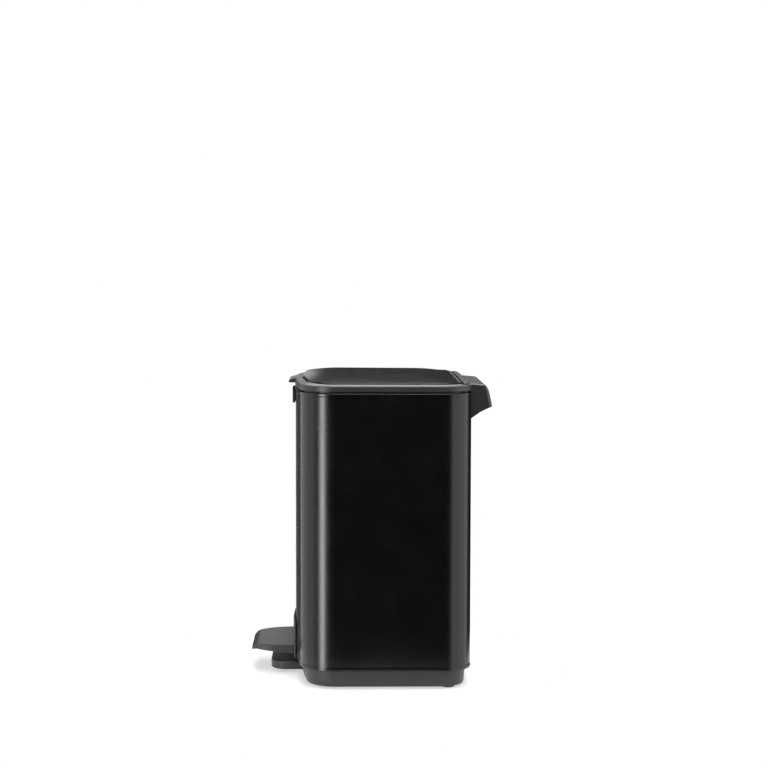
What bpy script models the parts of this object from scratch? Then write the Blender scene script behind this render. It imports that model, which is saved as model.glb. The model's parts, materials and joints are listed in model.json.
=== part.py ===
"""Pedal bin: steel sleeve on a moulded base, plastic collar, hinged lid, pedal, push rod and bucket.

The front faces -Y, the pedal runs along Y and X is the left-right axis of symmetry.
The origin is on the floor, under the middle of the whole object.
"""
import math

import bmesh
import bpy
from mathutils import Matrix, Vector

# ---- Driving dimensions, in metres ----
BODY_WIDTH = 0.291
BODY_DEPTH = 0.220
FRONT_BOW = 0.0146
FRONT_CORNER = 0.0456
REAR_CORNER = 0.036
PEDAL_REACH = 0.055
HANDLE_REACH = 0.028
BASE_CLEARANCE = 0.0023
BASE_SHOW = 0.0209
SLEEVE_HEIGHT = 0.3412
SLEEVE_WALL = 0.0008
HEM = 0.0005
HEM_HEIGHT = 0.003
SHADOW_GAP = 0.0014
COLLAR_SIDE = 0.0068
COLLAR_CHAMFER = 0.0022
COLLAR_WIDTH = 0.0088
COLLAR_LEDGE = 0.0150
LEDGE_DROP = 0.0042
MOULDED_WALL = 0.0024
LID_GAP = 0.0012
LID_STEP = 0.0019
LID_SETBACK = 0.016
LID_SKIN = 0.0008
LID_FLANGE = 0.0048
LID_DEPTH = 0.0102
CROWN_HEIGHT = 0.0092
OPENING_ANGLE = 80.0
CRANK_RADIUS = 0.024
CRANK_PIN_RADIUS = 0.002
BARREL_RADIUS = 0.0036
HINGE_PIN_RADIUS = 0.0015
PEDAL_WIDTH = 0.108
PEDAL_ABOVE_AXLE = 0.0105
PEDAL_ROOT_THICKNESS = 0.013
AXLE_SETBACK = 0.018
AXLE_RADIUS = 0.003
TONGUE_REACH = 0.0305
TONGUE_TOP = 0.0155
BEZEL_BOTTOM = 0.0195
BEZEL_ABOVE_PEDAL = 0.0278
BEZEL_THICKNESS = 0.0025
HANDLE_WIDTH = 0.168
HANDLE_WALL = 0.003
BADGE_WIDTH = 0.032
BADGE_HEIGHT = 0.0205
BUCKET_FLOOR = 0.056
BUCKET_WALL = 0.0018
ROD_WIDTH = 0.008
ROD_DEPTH = 0.006
EYE_WALL = 0.003
UPPER_EYE_WALL = 0.0034
PIN_SLIDE = 0.0004
LEVER_PIN_RADIUS = 0.002
FOOT_RADIUS = 0.009

# ---- Clearances ----
GAP = 0.0003
RUNNING = 0.0001
LINK_PLAY = 0.0008
FLOOR_ROOM = 0.00157
BUCKET_ROD_ROOM = 0.0042
PEDAL_SIDE_ROOM = 0.0015
PEDAL_TOP_ROOM = 0.006
BEZEL_FRAME = 0.0045

# ---- Positions worked out from them ----
FRONT_Y = (PEDAL_REACH - HANDLE_REACH - BODY_DEPTH) / 2
REAR_Y = FRONT_Y + BODY_DEPTH
HALF = BODY_WIDTH / 2
SLEEVE_BOTTOM = BASE_CLEARANCE + BASE_SHOW
SLEEVE_TOP = SLEEVE_BOTTOM + SLEEVE_HEIGHT
COLLAR_BOTTOM = SLEEVE_TOP + SHADOW_GAP
COLLAR_EDGE = COLLAR_BOTTOM + COLLAR_SIDE
COLLAR_CREST = COLLAR_EDGE + COLLAR_CHAMFER
LEDGE_TOP = COLLAR_BOTTOM - LEDGE_DROP
LID_INSET = COLLAR_WIDTH + LID_GAP
LID_EDGE = COLLAR_CREST + LID_STEP
LID_UNDERSIDE = LID_EDGE - LID_DEPTH
LID_FRONT = FRONT_Y + LID_INSET
LID_REAR = REAR_Y - LID_SETBACK
HINGE_Z = LID_EDGE - BARREL_RADIUS - RUNNING
HINGE_Y = LID_REAR + 0.0015
HALF_SWING = math.radians(OPENING_ANGLE / 2)
CRANK_PIN_Y = HINGE_Y - CRANK_RADIUS * math.cos(HALF_SWING)
CRANK_PIN_Z = HINGE_Z - CRANK_RADIUS * math.sin(HALF_SWING)
CRANK_SWEEP = CRANK_RADIUS * (1 - math.cos(HALF_SWING))
ROD_Y = CRANK_PIN_Y - CRANK_SWEEP / 2
ROD_TRAVEL = 2 * CRANK_RADIUS * math.sin(HALF_SWING)
BASE_FLOOR = BASE_CLEARANCE + 0.0029
LOWER_EYE_HALF = LEVER_PIN_RADIUS + LINK_PLAY + EYE_WALL
UPPER_EYE_REACH = CRANK_SWEEP / 2 + CRANK_PIN_RADIUS + PIN_SLIDE + UPPER_EYE_WALL
AXLE_HEIGHT = BASE_FLOOR + FLOOR_ROOM + LOWER_EYE_HALF + ROD_TRAVEL / 2
PEDAL_TOP = AXLE_HEIGHT + PEDAL_ABOVE_AXLE
AXLE_Y = FRONT_Y + AXLE_SETBACK
LEVER_REACH = ROD_Y - AXLE_Y
LEVER_SLOPE = math.atan2(ROD_TRAVEL / 2, LEVER_REACH)
LEVER_PIN_Z = AXLE_HEIGHT - ROD_TRAVEL / 2
BUCKET_REAR = ROD_Y - UPPER_EYE_REACH - BUCKET_ROD_ROOM
BEZEL_WIDTH = PEDAL_WIDTH + 2 * (PEDAL_SIDE_ROOM + BEZEL_FRAME)
BEZEL_TOP = PEDAL_TOP + BEZEL_ABOVE_PEDAL
TONGUE_WIDTH = PEDAL_WIDTH - 0.008

# ---- Places that several pieces share ----
FOOT_PLACES = {
    "foot_rear_left": (0.0245 - HALF, REAR_Y - 0.029),
    "foot_rear_right": (HALF - 0.0245, REAR_Y - 0.029),
    "foot_front_left": (0.046 - HALF, FRONT_Y + 0.042),
    "foot_front_right": (HALF - 0.046, FRONT_Y + 0.042),
}
SADDLE_X = PEDAL_WIDTH / 2 - 0.007
SADDLE_HALF = 0.004
EAR_X = HALF - 0.030
EAR_HALF = 0.003
SWING_RADIUS = BARREL_RADIUS + 0.0004
SWING_HALF = HALF - LID_INSET - 0.0085
CHEEK_INNER = ROD_WIDTH / 2 + 0.0012
CHEEK_WALL = 0.003
CHEEK_END = 0.005
TAB_WIDTH = 0.064
TAB_REACH = 0.0077
TAB_UNDERSIDE = LID_EDGE - 0.0065
PAD_REAR = FRONT_Y + 0.0065
PLATE_REACH = 0.046
PLATE_HALF = PEDAL_WIDTH / 2 - 0.014
PLATE_LOW = 0.0012
PLATE_HIGH = 0.0028
PAD_SCREW_X = {"pad_screw_left": 0.010 - PLATE_HALF, "pad_screw_right": PLATE_HALF - 0.010}
PAD_SCREW_Y = FRONT_Y - 0.014
BUCKET_RIM = 0.002
SKIRT_INSET = HEM * 2 + SLEEVE_WALL + GAP
HANDLE_SCREW_X = {"handle_screw_left": -0.060, "handle_screw_right": 0.060}
HANDLE_SCREW_Z = COLLAR_BOTTOM - 0.0105
CHANNEL_FRONT = BUCKET_REAR + 0.0035
CHANNEL_BOTTOM = LEVER_PIN_Z + ROD_TRAVEL + 0.012
CHANNEL_TOP = CRANK_PIN_Z - 0.010
CHANNEL_SCREW_X = {"channel_screw_left": -0.020, "channel_screw_right": 0.020}
CHANNEL_SCREW_Y = REAR_Y - 0.0238
CHANNEL_FOOT_TOP = BASE_FLOOR + 0.0025
SCREW_ROOM = 0.0021
SCREW_GRIP = 0.0017

CORNER_STEPS = 8
BOW_STEPS = 5

SATIN_PLASTIC = ("satin_plastic", (0.055, 0.056, 0.058), 0.42, 0.0)
INNER_PLASTIC = ("inner_plastic", (0.075, 0.077, 0.080), 0.50, 0.0)
BLACK_LACQUER = ("black_lacquer", (0.008, 0.008, 0.009), 0.30, 0.3)
MATT_LACQUER = ("matt_lacquer", (0.012, 0.012, 0.013), 0.50, 0.2)
ZINC_STEEL = ("zinc_steel", (0.55, 0.56, 0.58), 0.32, 1.0)
RUBBER = ("rubber", (0.03, 0.03, 0.03), 0.80, 0.0)


def empty_scene():
    for item in list(bpy.data.objects):
        bpy.data.objects.remove(item)


def collection(name):
    group = bpy.data.collections.new(name)
    bpy.context.scene.collection.children.link(group)
    return group


def finish_object(item, look):
    """Give a sub-part its own material and put it with the model."""
    name, colour, roughness, metallic = look
    material = bpy.data.materials.new(item.name + "_" + name)
    material.use_nodes = True
    shader = material.node_tree.nodes["Principled BSDF"]
    shader.inputs["Base Color"].default_value = (*colour, 1)
    shader.inputs["Roughness"].default_value = roughness
    shader.inputs["Metallic"].default_value = metallic
    item.data.materials.clear()
    item.data.materials.append(material)
    item.data.shade_smooth()
    item.data.set_sharp_from_angle(angle=math.radians(30))
    return item


def new_object(name, mesh):
    item = bpy.data.objects.new(name, mesh)
    MODEL.objects.link(item)
    return item


def as_cutter(item):
    """Move a helper solid out of the model; modifiers still read it."""
    MODEL.objects.unlink(item)
    CUTTERS.objects.link(item)
    item.hide_render = True
    item.display_type = "WIRE"
    return item


def combine(item, other, operation, solver="EXACT"):
    modifier = item.modifiers.new(operation.lower() + "_" + other.name, "BOOLEAN")
    modifier.operation = operation
    modifier.solver = solver
    modifier.object = as_cutter(other)
    return item


def cut(item, *tools, solver="EXACT"):
    for tool in tools:
        combine(item, tool, "DIFFERENCE", solver)
    return item


def join(item, *tools):
    for tool in tools:
        combine(item, tool, "UNION")
    return item


def loft(name, rings, closed=False):
    """Skin a stack of rings that have the same number of points."""
    mesh = bpy.data.meshes.new(name)
    bm = bmesh.new()
    loops = [[bm.verts.new(point) for point in ring] for ring in rings]
    following = loops[1:] + loops[:1] if closed else loops[1:]
    for lower, upper in zip(loops, following):
        for i in range(len(lower)):
            bm.faces.new((lower[i - 1], lower[i], upper[i], upper[i - 1]))
    if not closed:
        bm.faces.new(list(reversed(loops[0])))
        bm.faces.new(loops[-1])
    bmesh.ops.recalc_face_normals(bm, faces=bm.faces)
    bm.to_mesh(mesh)
    bm.free()
    return new_object(name, mesh)


AXES = {
    "x": Matrix(((0, 0, 1), (1, 0, 0), (0, 1, 0))).to_4x4(),
    "y": Matrix(((1, 0, 0), (0, 0, -1), (0, 1, 0))).to_4x4(),
    "z": Matrix.Identity(4),
}


def extrude(name, outlines, axis, low, high):
    """Extrude flat outlines along an axis; an outline inside another is a hole.

    The outline's two coordinates are (y, z) along x, (x, z) along y and (x, y) along z.
    """
    curve = bpy.data.curves.new(name, "CURVE")
    curve.dimensions = "2D"
    curve.fill_mode = "BOTH"
    curve.extrude = (high - low) / 2
    for outline in outlines:
        spline = curve.splines.new("POLY")
        spline.points.add(len(outline) - 1)
        for point, (u, v) in zip(spline.points, outline):
            point.co = (u, v, 0, 1)
        spline.use_cyclic_u = True
    holder = bpy.data.objects.new(name, curve)
    MODEL.objects.link(holder)
    bpy.context.view_layer.update()
    evaluated = holder.evaluated_get(bpy.context.evaluated_depsgraph_get())
    mesh = bpy.data.meshes.new_from_object(evaluated)
    middle = (high + low) / 2
    shift = Matrix.Translation((0, 0, -middle if axis == "y" else middle))
    mesh.transform(AXES[axis] @ shift)
    bm = bmesh.new()
    bm.from_mesh(mesh)
    bmesh.ops.remove_doubles(bm, verts=bm.verts, dist=0.00001)
    bmesh.ops.recalc_face_normals(bm, faces=bm.faces)
    bm.to_mesh(mesh)
    bm.free()
    bpy.data.objects.remove(holder)
    return new_object(name, mesh)


def box(name, low, high):
    mesh = bpy.data.meshes.new(name)
    bm = bmesh.new()
    bmesh.ops.create_cube(bm, size=1)
    size = Vector(high) - Vector(low)
    middle = (Vector(high) + Vector(low)) / 2
    bmesh.ops.scale(bm, vec=size, verts=bm.verts)
    bmesh.ops.translate(bm, vec=middle, verts=bm.verts)
    bm.to_mesh(mesh)
    bm.free()
    return new_object(name, mesh)


def rod_between(name, radius, start, end, segments=24):
    """A round bar from one point to another along X, Y or Z."""
    mesh = bpy.data.meshes.new(name)
    span = Vector(end) - Vector(start)
    middle = (Vector(end) + Vector(start)) / 2
    turn = Vector((0, 0, 1)).rotation_difference(span).to_matrix().to_4x4()
    bm = bmesh.new()
    bmesh.ops.create_cone(bm, cap_ends=True, segments=segments, radius1=radius, radius2=radius,
                          depth=span.length, matrix=Matrix.Translation(middle) @ turn)
    bm.to_mesh(mesh)
    bm.free()
    return new_object(name, mesh)


def turned(name, profile, place, direction, segments=20):
    """Turn a profile of (radius, height) points, top to bottom, about its own axis."""
    mesh = bpy.data.meshes.new(name)
    bm = bmesh.new()
    points = [bm.verts.new((radius, 0, height)) for radius, height in profile]
    for first, second in zip(points, points[1:]):
        bm.edges.new((first, second))
    bm.to_mesh(mesh)
    bm.free()
    item = new_object(name, mesh)
    item.location = place
    item.rotation_mode = "QUATERNION"
    item.rotation_quaternion = Vector((0, 0, 1)).rotation_difference(Vector(direction))
    screw = item.modifiers.new("turn", "SCREW")
    screw.steps = segments
    screw.render_steps = segments
    screw.use_merge_vertices = True
    screw.merge_threshold = 0.00001
    return item


def screw_piece(name, place, direction, length, radius=0.0016, head=0.0032):
    """A pan-head screw whose head's flat underside is at place and whose shank runs the other way."""
    profile = [(0, 0.0019), (head * 0.55, 0.0018), (head * 0.9, 0.0011), (head, 0.0),
               (radius, 0.0), (radius, -length + 0.001), (radius * 0.45, -length), (0, -length)]
    return turned(name, profile, place, direction, 16)


def bevel(item, width, segments=2, angle=30):
    modifier = item.modifiers.new("edge_round", "BEVEL")
    modifier.width = width
    modifier.segments = segments
    modifier.limit_method = "ANGLE"
    modifier.angle_limit = math.radians(angle)
    return item


def arc(centre, radius, start, stop, steps):
    """Points on an arc, angles in degrees, both ends included."""
    angles = [math.radians(start + (stop - start) * i / steps) for i in range(steps + 1)]
    return [(centre[0] + radius * math.cos(a), centre[1] + radius * math.sin(a)) for a in angles]


def rounded_rectangle(low, high, radius, steps=4):
    points = arc((high[0] - radius, high[1] - radius), radius, 0, 90, steps)
    points += arc((low[0] + radius, high[1] - radius), radius, 90, 180, steps)
    points += arc((low[0] + radius, low[1] + radius), radius, 180, 270, steps)
    points += arc((high[0] - radius, low[1] + radius), radius, 270, 360, steps)
    return points


def plan(inset, rear=None, radius=None, cut_at=None):
    """Plan outline set in from the body's side, as (x, y) points anticlockwise from the rear.

    rear moves the back wall, radius sets its corners, and cut_at ends the outline on a
    straight line across those corners.
    """
    bow_radius = (HALF * HALF + FRONT_BOW * FRONT_BOW) / (2 * FRONT_BOW)
    bow_y = FRONT_Y + bow_radius
    corner_x = HALF - FRONT_CORNER
    corner_y = bow_y - math.sqrt((bow_radius - FRONT_CORNER) ** 2 - corner_x ** 2)
    tangent = math.degrees(math.atan2(corner_y - bow_y, corner_x))
    rear_y = REAR_Y - inset if rear is None else rear
    rear_radius = REAR_CORNER - inset if radius is None else radius
    rear_centre = (HALF - inset - rear_radius, rear_y - rear_radius)
    top_angle = 90
    if cut_at is not None:
        top_angle = math.degrees(math.asin((cut_at - rear_centre[1]) / rear_radius))
    side = arc(rear_centre, rear_radius, top_angle, 0, CORNER_STEPS)
    side += arc((corner_x, corner_y), FRONT_CORNER - inset, 0, tangent, CORNER_STEPS)
    side += arc((0, bow_y), bow_radius - inset, tangent, -90, BOW_STEPS)[1:]
    right = side[:-1]
    left = [(-x, y) for x, y in reversed(right)]
    return list(reversed(right + [side[-1]] + left))


def ring(height, inset, rise=0.0, **shape):
    """One level of a loft: a plan outline at a height, lifted by a share of the lid's crown."""
    return [(x, y, height + rise * crown(x, y)) for x, y in plan(inset, **shape)]


def crown(x, y):
    """Height of the lid's pillow above its straight side edges."""
    half = HALF - LID_INSET
    across = max(0.0, 1 - abs(x / half) ** 2.2)
    from_front = min(1.0, max(0.0, (y - LID_FRONT) / 0.045))
    from_rear = min(1.0, max(0.0, (LID_REAR - y) / 0.050))
    front = 1 - 0.64 * (1 - from_front) ** 2
    rear = 1 - 0.97 * (1 - from_rear) ** 2.4
    slope = 1 - 0.16 * min(1.0, max(0.0, (y - LID_FRONT) / (LID_REAR - LID_FRONT)))
    return CROWN_HEIGHT * across * front * rear * slope


def ear_outline():
    """Side view of a hinge ear: a round eye about the pin with a web down to the ledge."""
    points = arc((HINGE_Y, HINGE_Z), BARREL_RADIUS, 260, 45, 10)
    points += [(HINGE_Y + 0.009, HINGE_Z + 0.001), (HINGE_Y + 0.009, LEDGE_TOP - 0.0005),
               (HINGE_Y - 0.0005, LEDGE_TOP - 0.0005)]
    return points


def front_patch(name, low, high, radius, out, depth):
    """A plate that follows the bowed front, cut to a rounded outline; out and depth run from the face."""
    bottom = low[1] - 0.002
    top = high[1] + 0.002
    skin = loft(name, [ring(bottom, -out), ring(top, -out), ring(top, depth), ring(bottom, depth)],
                closed=True)
    shape = extrude(name + "_outline", [rounded_rectangle(low, high, radius)], "y",
                    FRONT_Y - 0.03, FRONT_Y + 0.03)
    return combine(skin, shape, "INTERSECT")


# ---- Fixed pieces ----

def make_steel_body():
    low = SLEEVE_BOTTOM
    top = SLEEVE_TOP
    step = HEM_HEIGHT
    outer = HEM
    inner = HEM + SLEEVE_WALL
    fold = inner + HEM
    levels = [(low, 0), (low + step, 0), (low + step + HEM, outer), (top - step - HEM, outer),
              (top - step, 0), (top, 0), (top, fold), (top - step, fold),
              (top - step - HEM, inner), (low + step + HEM, inner), (low + step, fold), (low, fold)]
    body = loft("steel_body", [ring(z, inset) for z, inset in levels], closed=True)
    half = BEZEL_WIDTH / 2 - 0.003
    opening = extrude("pedal_cutout",
                      [rounded_rectangle((-half, SLEEVE_BOTTOM - 0.02), (half, BEZEL_TOP - 0.018), 0.004)],
                      "y", FRONT_Y - 0.02, FRONT_Y + 0.03)
    cut(body, opening)
    for x in HANDLE_SCREW_X.values():
        cut(body, rod_between("sleeve_hole", SCREW_ROOM, (x, REAR_Y - 0.01, HANDLE_SCREW_Z),
                              (x, REAR_Y + 0.01, HANDLE_SCREW_Z), 12))
    return finish_object(body, BLACK_LACQUER)


def make_base():
    """Moulded tray: rounded outside, upstand inside the sleeve, tongue under the pedal, axle saddles."""
    low = BASE_CLEARANCE
    inner = HEM * 2 + SLEEVE_WALL + 0.0004
    wall = MOULDED_WALL
    upstand = SLEEVE_BOTTOM + 0.025
    levels = [(low, 0.0180), (low, 0.0145), (low + 0.0012, 0.0112), (low + 0.0045, 0.0088),
              (low + 0.0100, 0.0076), (SLEEVE_BOTTOM + 0.0010, 0.0070), (SLEEVE_BOTTOM + 0.0022, inner),
              (upstand, inner), (upstand, inner + wall), (SLEEVE_BOTTOM + 0.0040, inner + wall),
              (SLEEVE_BOTTOM + 0.0012, 0.0070 + wall), (low + 0.0110, 0.0076 + wall),
              (BASE_FLOOR + 0.002, 0.0128), (BASE_FLOOR, 0.0165)]
    base = loft("base", [ring(z, inset) for z, inset in levels])
    half = TONGUE_WIDTH / 2
    tip = FRONT_Y - TONGUE_REACH
    outline = arc((half - 0.02, tip + 0.02), 0.02, 0, -90, 5)
    outline += arc((-half + 0.02, tip + 0.02), 0.02, -90, -180, 5)
    outline += [(-half, FRONT_Y + 0.02), (half, FRONT_Y + 0.02)]
    tongue = extrude("tongue", [outline], "z", low + 0.0017, TONGUE_TOP)
    bevel(tongue, 0.0022, 2, 60)
    join(base, tongue)
    saddle_top = AXLE_HEIGHT + AXLE_RADIUS + 0.004
    for side in (-1, 1):
        x = side * SADDLE_X
        join(base, box("saddle", (x - SADDLE_HALF, AXLE_Y - 0.009, BASE_FLOOR - 0.001),
                       (x + SADDLE_HALF, AXLE_Y + 0.009, saddle_top)))
    mouth = box("base_mouth", (-BEZEL_WIDTH / 2 + 0.0025, FRONT_Y - 0.004, BEZEL_BOTTOM),
                (BEZEL_WIDTH / 2 - 0.0025, FRONT_Y + 0.016, upstand + 0.005))
    cut(base, mouth)
    cut(base, rod_between("axle_bore", AXLE_RADIUS + RUNNING, (-SADDLE_X - 0.01, AXLE_Y, AXLE_HEIGHT),
                          (SADDLE_X + 0.01, AXLE_Y, AXLE_HEIGHT)))
    for x, y in FOOT_PLACES.values():
        cut(base, rod_between("foot_pocket", FOOT_RADIUS + GAP, (x, y, -0.001), (x, y, low + 0.0015)))
    for x in CHANNEL_SCREW_X.values():
        cut(base, rod_between("screw_hole", SCREW_GRIP, (x, CHANNEL_SCREW_Y, low + 0.0008),
                              (x, CHANNEL_SCREW_Y, BASE_FLOOR + 0.01), 12))
    return finish_object(base, SATIN_PLASTIC)


def make_feet():
    for name, (x, y) in FOOT_PLACES.items():
        height = BASE_CLEARANCE + 0.0015 - GAP
        profile = [(0, height), (FOOT_RADIUS, height), (FOOT_RADIUS, 0.0008),
                   (FOOT_RADIUS - 0.0008, 0), (0, 0)]
        finish_object(turned(name, profile, (x, y, 0), (0, 0, 1), 24), RUBBER)


def make_pedal_bezel():
    half = BEZEL_WIDTH / 2
    bezel = front_patch("pedal_bezel", (-half, BEZEL_BOTTOM), (half, BEZEL_TOP), 0.007,
                        BEZEL_THICKNESS, -GAP)
    slot = extrude("pedal_slot", [rounded_rectangle((-half + BEZEL_FRAME, BEZEL_BOTTOM - 0.01),
                                                    (half - BEZEL_FRAME, PEDAL_TOP + PEDAL_TOP_ROOM), 0.003)],
                   "y", FRONT_Y - 0.03, FRONT_Y + 0.03)
    return finish_object(cut(bezel, slot), SATIN_PLASTIC)


def make_front_badge():
    half = BADGE_WIDTH / 2
    top = SLEEVE_TOP - 0.0009
    badge = front_patch("front_badge", (-half, top - BADGE_HEIGHT), (half, top), 0.003, 0.0035, -GAP)
    return finish_object(badge, SATIN_PLASTIC)


def make_collar():
    """Moulded ring on the sleeve, with the lid's recess, the bucket's ledge and the hinge seats."""
    skirt = SKIRT_INSET
    ledge = {"rear": BUCKET_REAR + 0.001, "radius": 0.026}
    under = LEDGE_TOP - 0.0026
    rings = [ring(COLLAR_BOTTOM, 0), ring(COLLAR_EDGE, 0, 1), ring(COLLAR_EDGE + 0.0007, 0.0008, 1),
             ring(COLLAR_CREST, 0.0080, 1), ring(COLLAR_CREST - 0.0004, COLLAR_WIDTH, 1),
             ring(LEDGE_TOP, COLLAR_WIDTH), ring(LEDGE_TOP, COLLAR_LEDGE, **ledge),
             ring(under, COLLAR_LEDGE, **ledge), ring(under, skirt + MOULDED_WALL),
             ring(under - 0.009, skirt + MOULDED_WALL), ring(under - 0.009, skirt),
             ring(COLLAR_BOTTOM, skirt)]
    collar = loft("collar", rings, closed=True)
    deck_front = HINGE_Y + BARREL_RADIUS + 0.0007
    deck_outline = [(x, y) for x, y in plan(0.0035) if y > deck_front and abs(x) < EAR_X + 0.02]
    deck = extrude("hinge_deck", [deck_outline], "z", LEDGE_TOP - 0.001, COLLAR_CREST + 0.0007)
    join(collar, deck)
    for side in (-1, 1):
        x = side * EAR_X
        join(collar, extrude("hinge_ear", [ear_outline()], "x", x - EAR_HALF, x + EAR_HALF))
    slot_half = 0.0130
    cut(collar, box("crank_slot", (-slot_half, ROD_Y - UPPER_EYE_REACH - GAP, under - 0.02),
                    (slot_half, HINGE_Y - 0.0032, LEDGE_TOP + 0.004)))
    notch = TAB_WIDTH / 2 + 0.001
    cut(collar, box("tab_notch", (-notch, FRONT_Y - 0.01, TAB_UNDERSIDE - 0.0005),
                    (notch, FRONT_Y + 0.0145, LID_EDGE + 0.02)))
    cut(collar, rod_between("lid_swing", SWING_RADIUS + 0.0003, (-SWING_HALF, HINGE_Y, HINGE_Z),
                            (-EAR_X - 0.0034, HINGE_Y, HINGE_Z), 32),
        rod_between("lid_swing", SWING_RADIUS + 0.0003, (EAR_X + 0.0034, HINGE_Y, HINGE_Z),
                    (SWING_HALF, HINGE_Y, HINGE_Z), 32),
        rod_between("barrel_swing", SWING_RADIUS + 0.0002, (-EAR_X + 0.0034, HINGE_Y, HINGE_Z),
                    (EAR_X - 0.0034, HINGE_Y, HINGE_Z), 32),
        rod_between("pin_bore", HINGE_PIN_RADIUS + RUNNING, (-EAR_X - 0.006, HINGE_Y, HINGE_Z),
                    (EAR_X + 0.006, HINGE_Y, HINGE_Z), 16), solver="MANIFOLD")
    for x in HANDLE_SCREW_X.values():
        cut(collar, rod_between("skirt_hole", SCREW_ROOM, (x, REAR_Y - 0.02, HANDLE_SCREW_Z),
                                (x, REAR_Y + 0.01, HANDLE_SCREW_Z), 12))
    return finish_object(collar, SATIN_PLASTIC)


def make_hinge_pins():
    for name, side in (("hinge_pin_left", -1), ("hinge_pin_right", 1)):
        inner = side * (EAR_X - 0.022)
        outer = side * (EAR_X + 0.0029)
        pin = rod_between(name, HINGE_PIN_RADIUS, (inner, HINGE_Y, HINGE_Z), (outer, HINGE_Y, HINGE_Z), 16)
        finish_object(pin, ZINC_STEEL)


def make_rear_handle():
    """Hollow grip behind the collar, open underneath for the fingers."""
    half = HANDLE_WIDTH / 2
    front = REAR_Y + GAP
    back = REAR_Y + HANDLE_REACH
    top = COLLAR_EDGE
    outline = [(front, top), (REAR_Y + 0.010, top - 0.0006), (REAR_Y + 0.0185, top - 0.0026),
               (back - 0.0045, top - 0.0075), (back - 0.0024, top - 0.0130), (back, top - 0.0290),
               (REAR_Y + 0.0130, top - 0.0362), (front, top - 0.0450)]
    stations = [(-half, 0.90), (-half + 0.0010, 0.96), (-half + 0.0028, 1.0)]
    stations += [(-x, scale) for x, scale in reversed(stations)]
    height = (top + outline[-1][1]) / 2
    rings = [[(x, front + (y - front) * scale, height + (z - height) * scale) for y, z in outline]
             for x, scale in stations]
    handle = loft("rear_handle", rings)
    wall = HANDLE_WALL
    hollow = [(front + wall, top - wall), (REAR_Y + 0.018, top - wall - 0.0026),
              (back - 0.0045 - wall, top - 0.0105), (back - wall, top - 0.0285),
              (back - wall - 0.0010, top - 0.06), (front + wall, top - 0.06)]
    cup = extrude("grip_hollow", [hollow], "x", -half + wall, half - wall)
    cut(handle, cup)
    mouth = half - wall - 0.0004
    cut(handle, box("grip_mouth", (-mouth, front - 0.002, top - 0.061),
                    (mouth, front + wall + 0.001, HANDLE_SCREW_Z - 0.007)))
    for x in HANDLE_SCREW_X.values():
        join(handle, rod_between("screw_boss", 0.0045, (x, front + 0.0005, HANDLE_SCREW_Z),
                                 (x, front + 0.008, HANDLE_SCREW_Z), 20))
        cut(handle, rod_between("boss_hole", SCREW_GRIP, (x, front - 0.002, HANDLE_SCREW_Z),
                                (x, front + 0.0072, HANDLE_SCREW_Z), 12))
    return finish_object(handle, SATIN_PLASTIC)


def make_handle_screws():
    face = REAR_Y - SKIRT_INSET - MOULDED_WALL - GAP
    for name, x in HANDLE_SCREW_X.items():
        item = screw_piece(name, (x, face, HANDLE_SCREW_Z), (0, -1, 0), REAR_Y + 0.0065 - face)
        finish_object(item, ZINC_STEEL)


def make_pedal_axle():
    half = SADDLE_X + 0.0065
    axle = rod_between("pedal_axle", AXLE_RADIUS, (-half, AXLE_Y, AXLE_HEIGHT), (half, AXLE_Y, AXLE_HEIGHT))
    bevel(axle, 0.0005, 1, 60)
    finish_object(axle, ZINC_STEEL)
    for name, side in (("axle_clip_left", -1), ("axle_clip_right", 1)):
        centre = (AXLE_Y, AXLE_HEIGHT)
        outer = arc(centre, 0.0062, -50, 230, 18)
        inner = arc(centre, AXLE_RADIUS + RUNNING, 230, -50, 18)
        near = SADDLE_X + SADDLE_HALF + GAP
        low, high = sorted((side * near, side * (near + 0.0012)))
        finish_object(extrude(name, [outer + inner], "x", low, high), ZINC_STEEL)


def make_rod_channel():
    """Plastic channel that keeps the push rod upright and away from the bucket."""
    front = CHANNEL_FRONT
    back = REAR_Y - 0.0055
    leg_back = REAR_Y - 0.0180
    half = ROD_WIDTH / 2 + 0.0060
    wall = 0.0020
    guide_low = ROD_Y - ROD_DEPTH / 2 - 0.0005
    guide_high = ROD_Y + ROD_DEPTH / 2 + 0.0005
    flange = half + 0.006
    foot_half = CHANNEL_SCREW_X["channel_screw_right"] + 0.005
    groove = ROD_WIDTH / 2 + 0.0005
    right = [(half, front), (half, back - wall), (flange, back - wall), (flange, back),
             (half - wall, back), (half - wall, guide_high + wall), (groove, guide_high + wall),
             (groove, guide_low - 0.0002)]
    left = [(-x, y) for x, y in reversed(right)]
    channel = extrude("rod_channel", [right + left], "z", CHANNEL_BOTTOM, CHANNEL_TOP)
    foot = box("channel_foot", (-foot_half, CHANNEL_SCREW_Y - 0.0037, BASE_FLOOR + GAP),
               (foot_half, leg_back, CHANNEL_FOOT_TOP))
    legs = box("channel_leg", (-foot_half, leg_back - 0.0025, BASE_FLOOR + 0.0005),
               (foot_half, leg_back, CHANNEL_BOTTOM + 0.012))
    join(channel, foot, legs)
    for x in CHANNEL_SCREW_X.values():
        cut(channel, rod_between("foot_hole", SCREW_ROOM, (x, CHANNEL_SCREW_Y, 0),
                                 (x, CHANNEL_SCREW_Y, CHANNEL_FOOT_TOP + 0.005), 12))
    finish_object(channel, INNER_PLASTIC)
    for name, x in CHANNEL_SCREW_X.items():
        place = (x, CHANNEL_SCREW_Y, CHANNEL_FOOT_TOP + GAP)
        length = place[2] - BASE_CLEARANCE - 0.0008 - GAP
        finish_object(screw_piece(name, place, (0, 0, 1), length, 0.0013, 0.0028), ZINC_STEEL)


# ---- Lid ----

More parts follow.
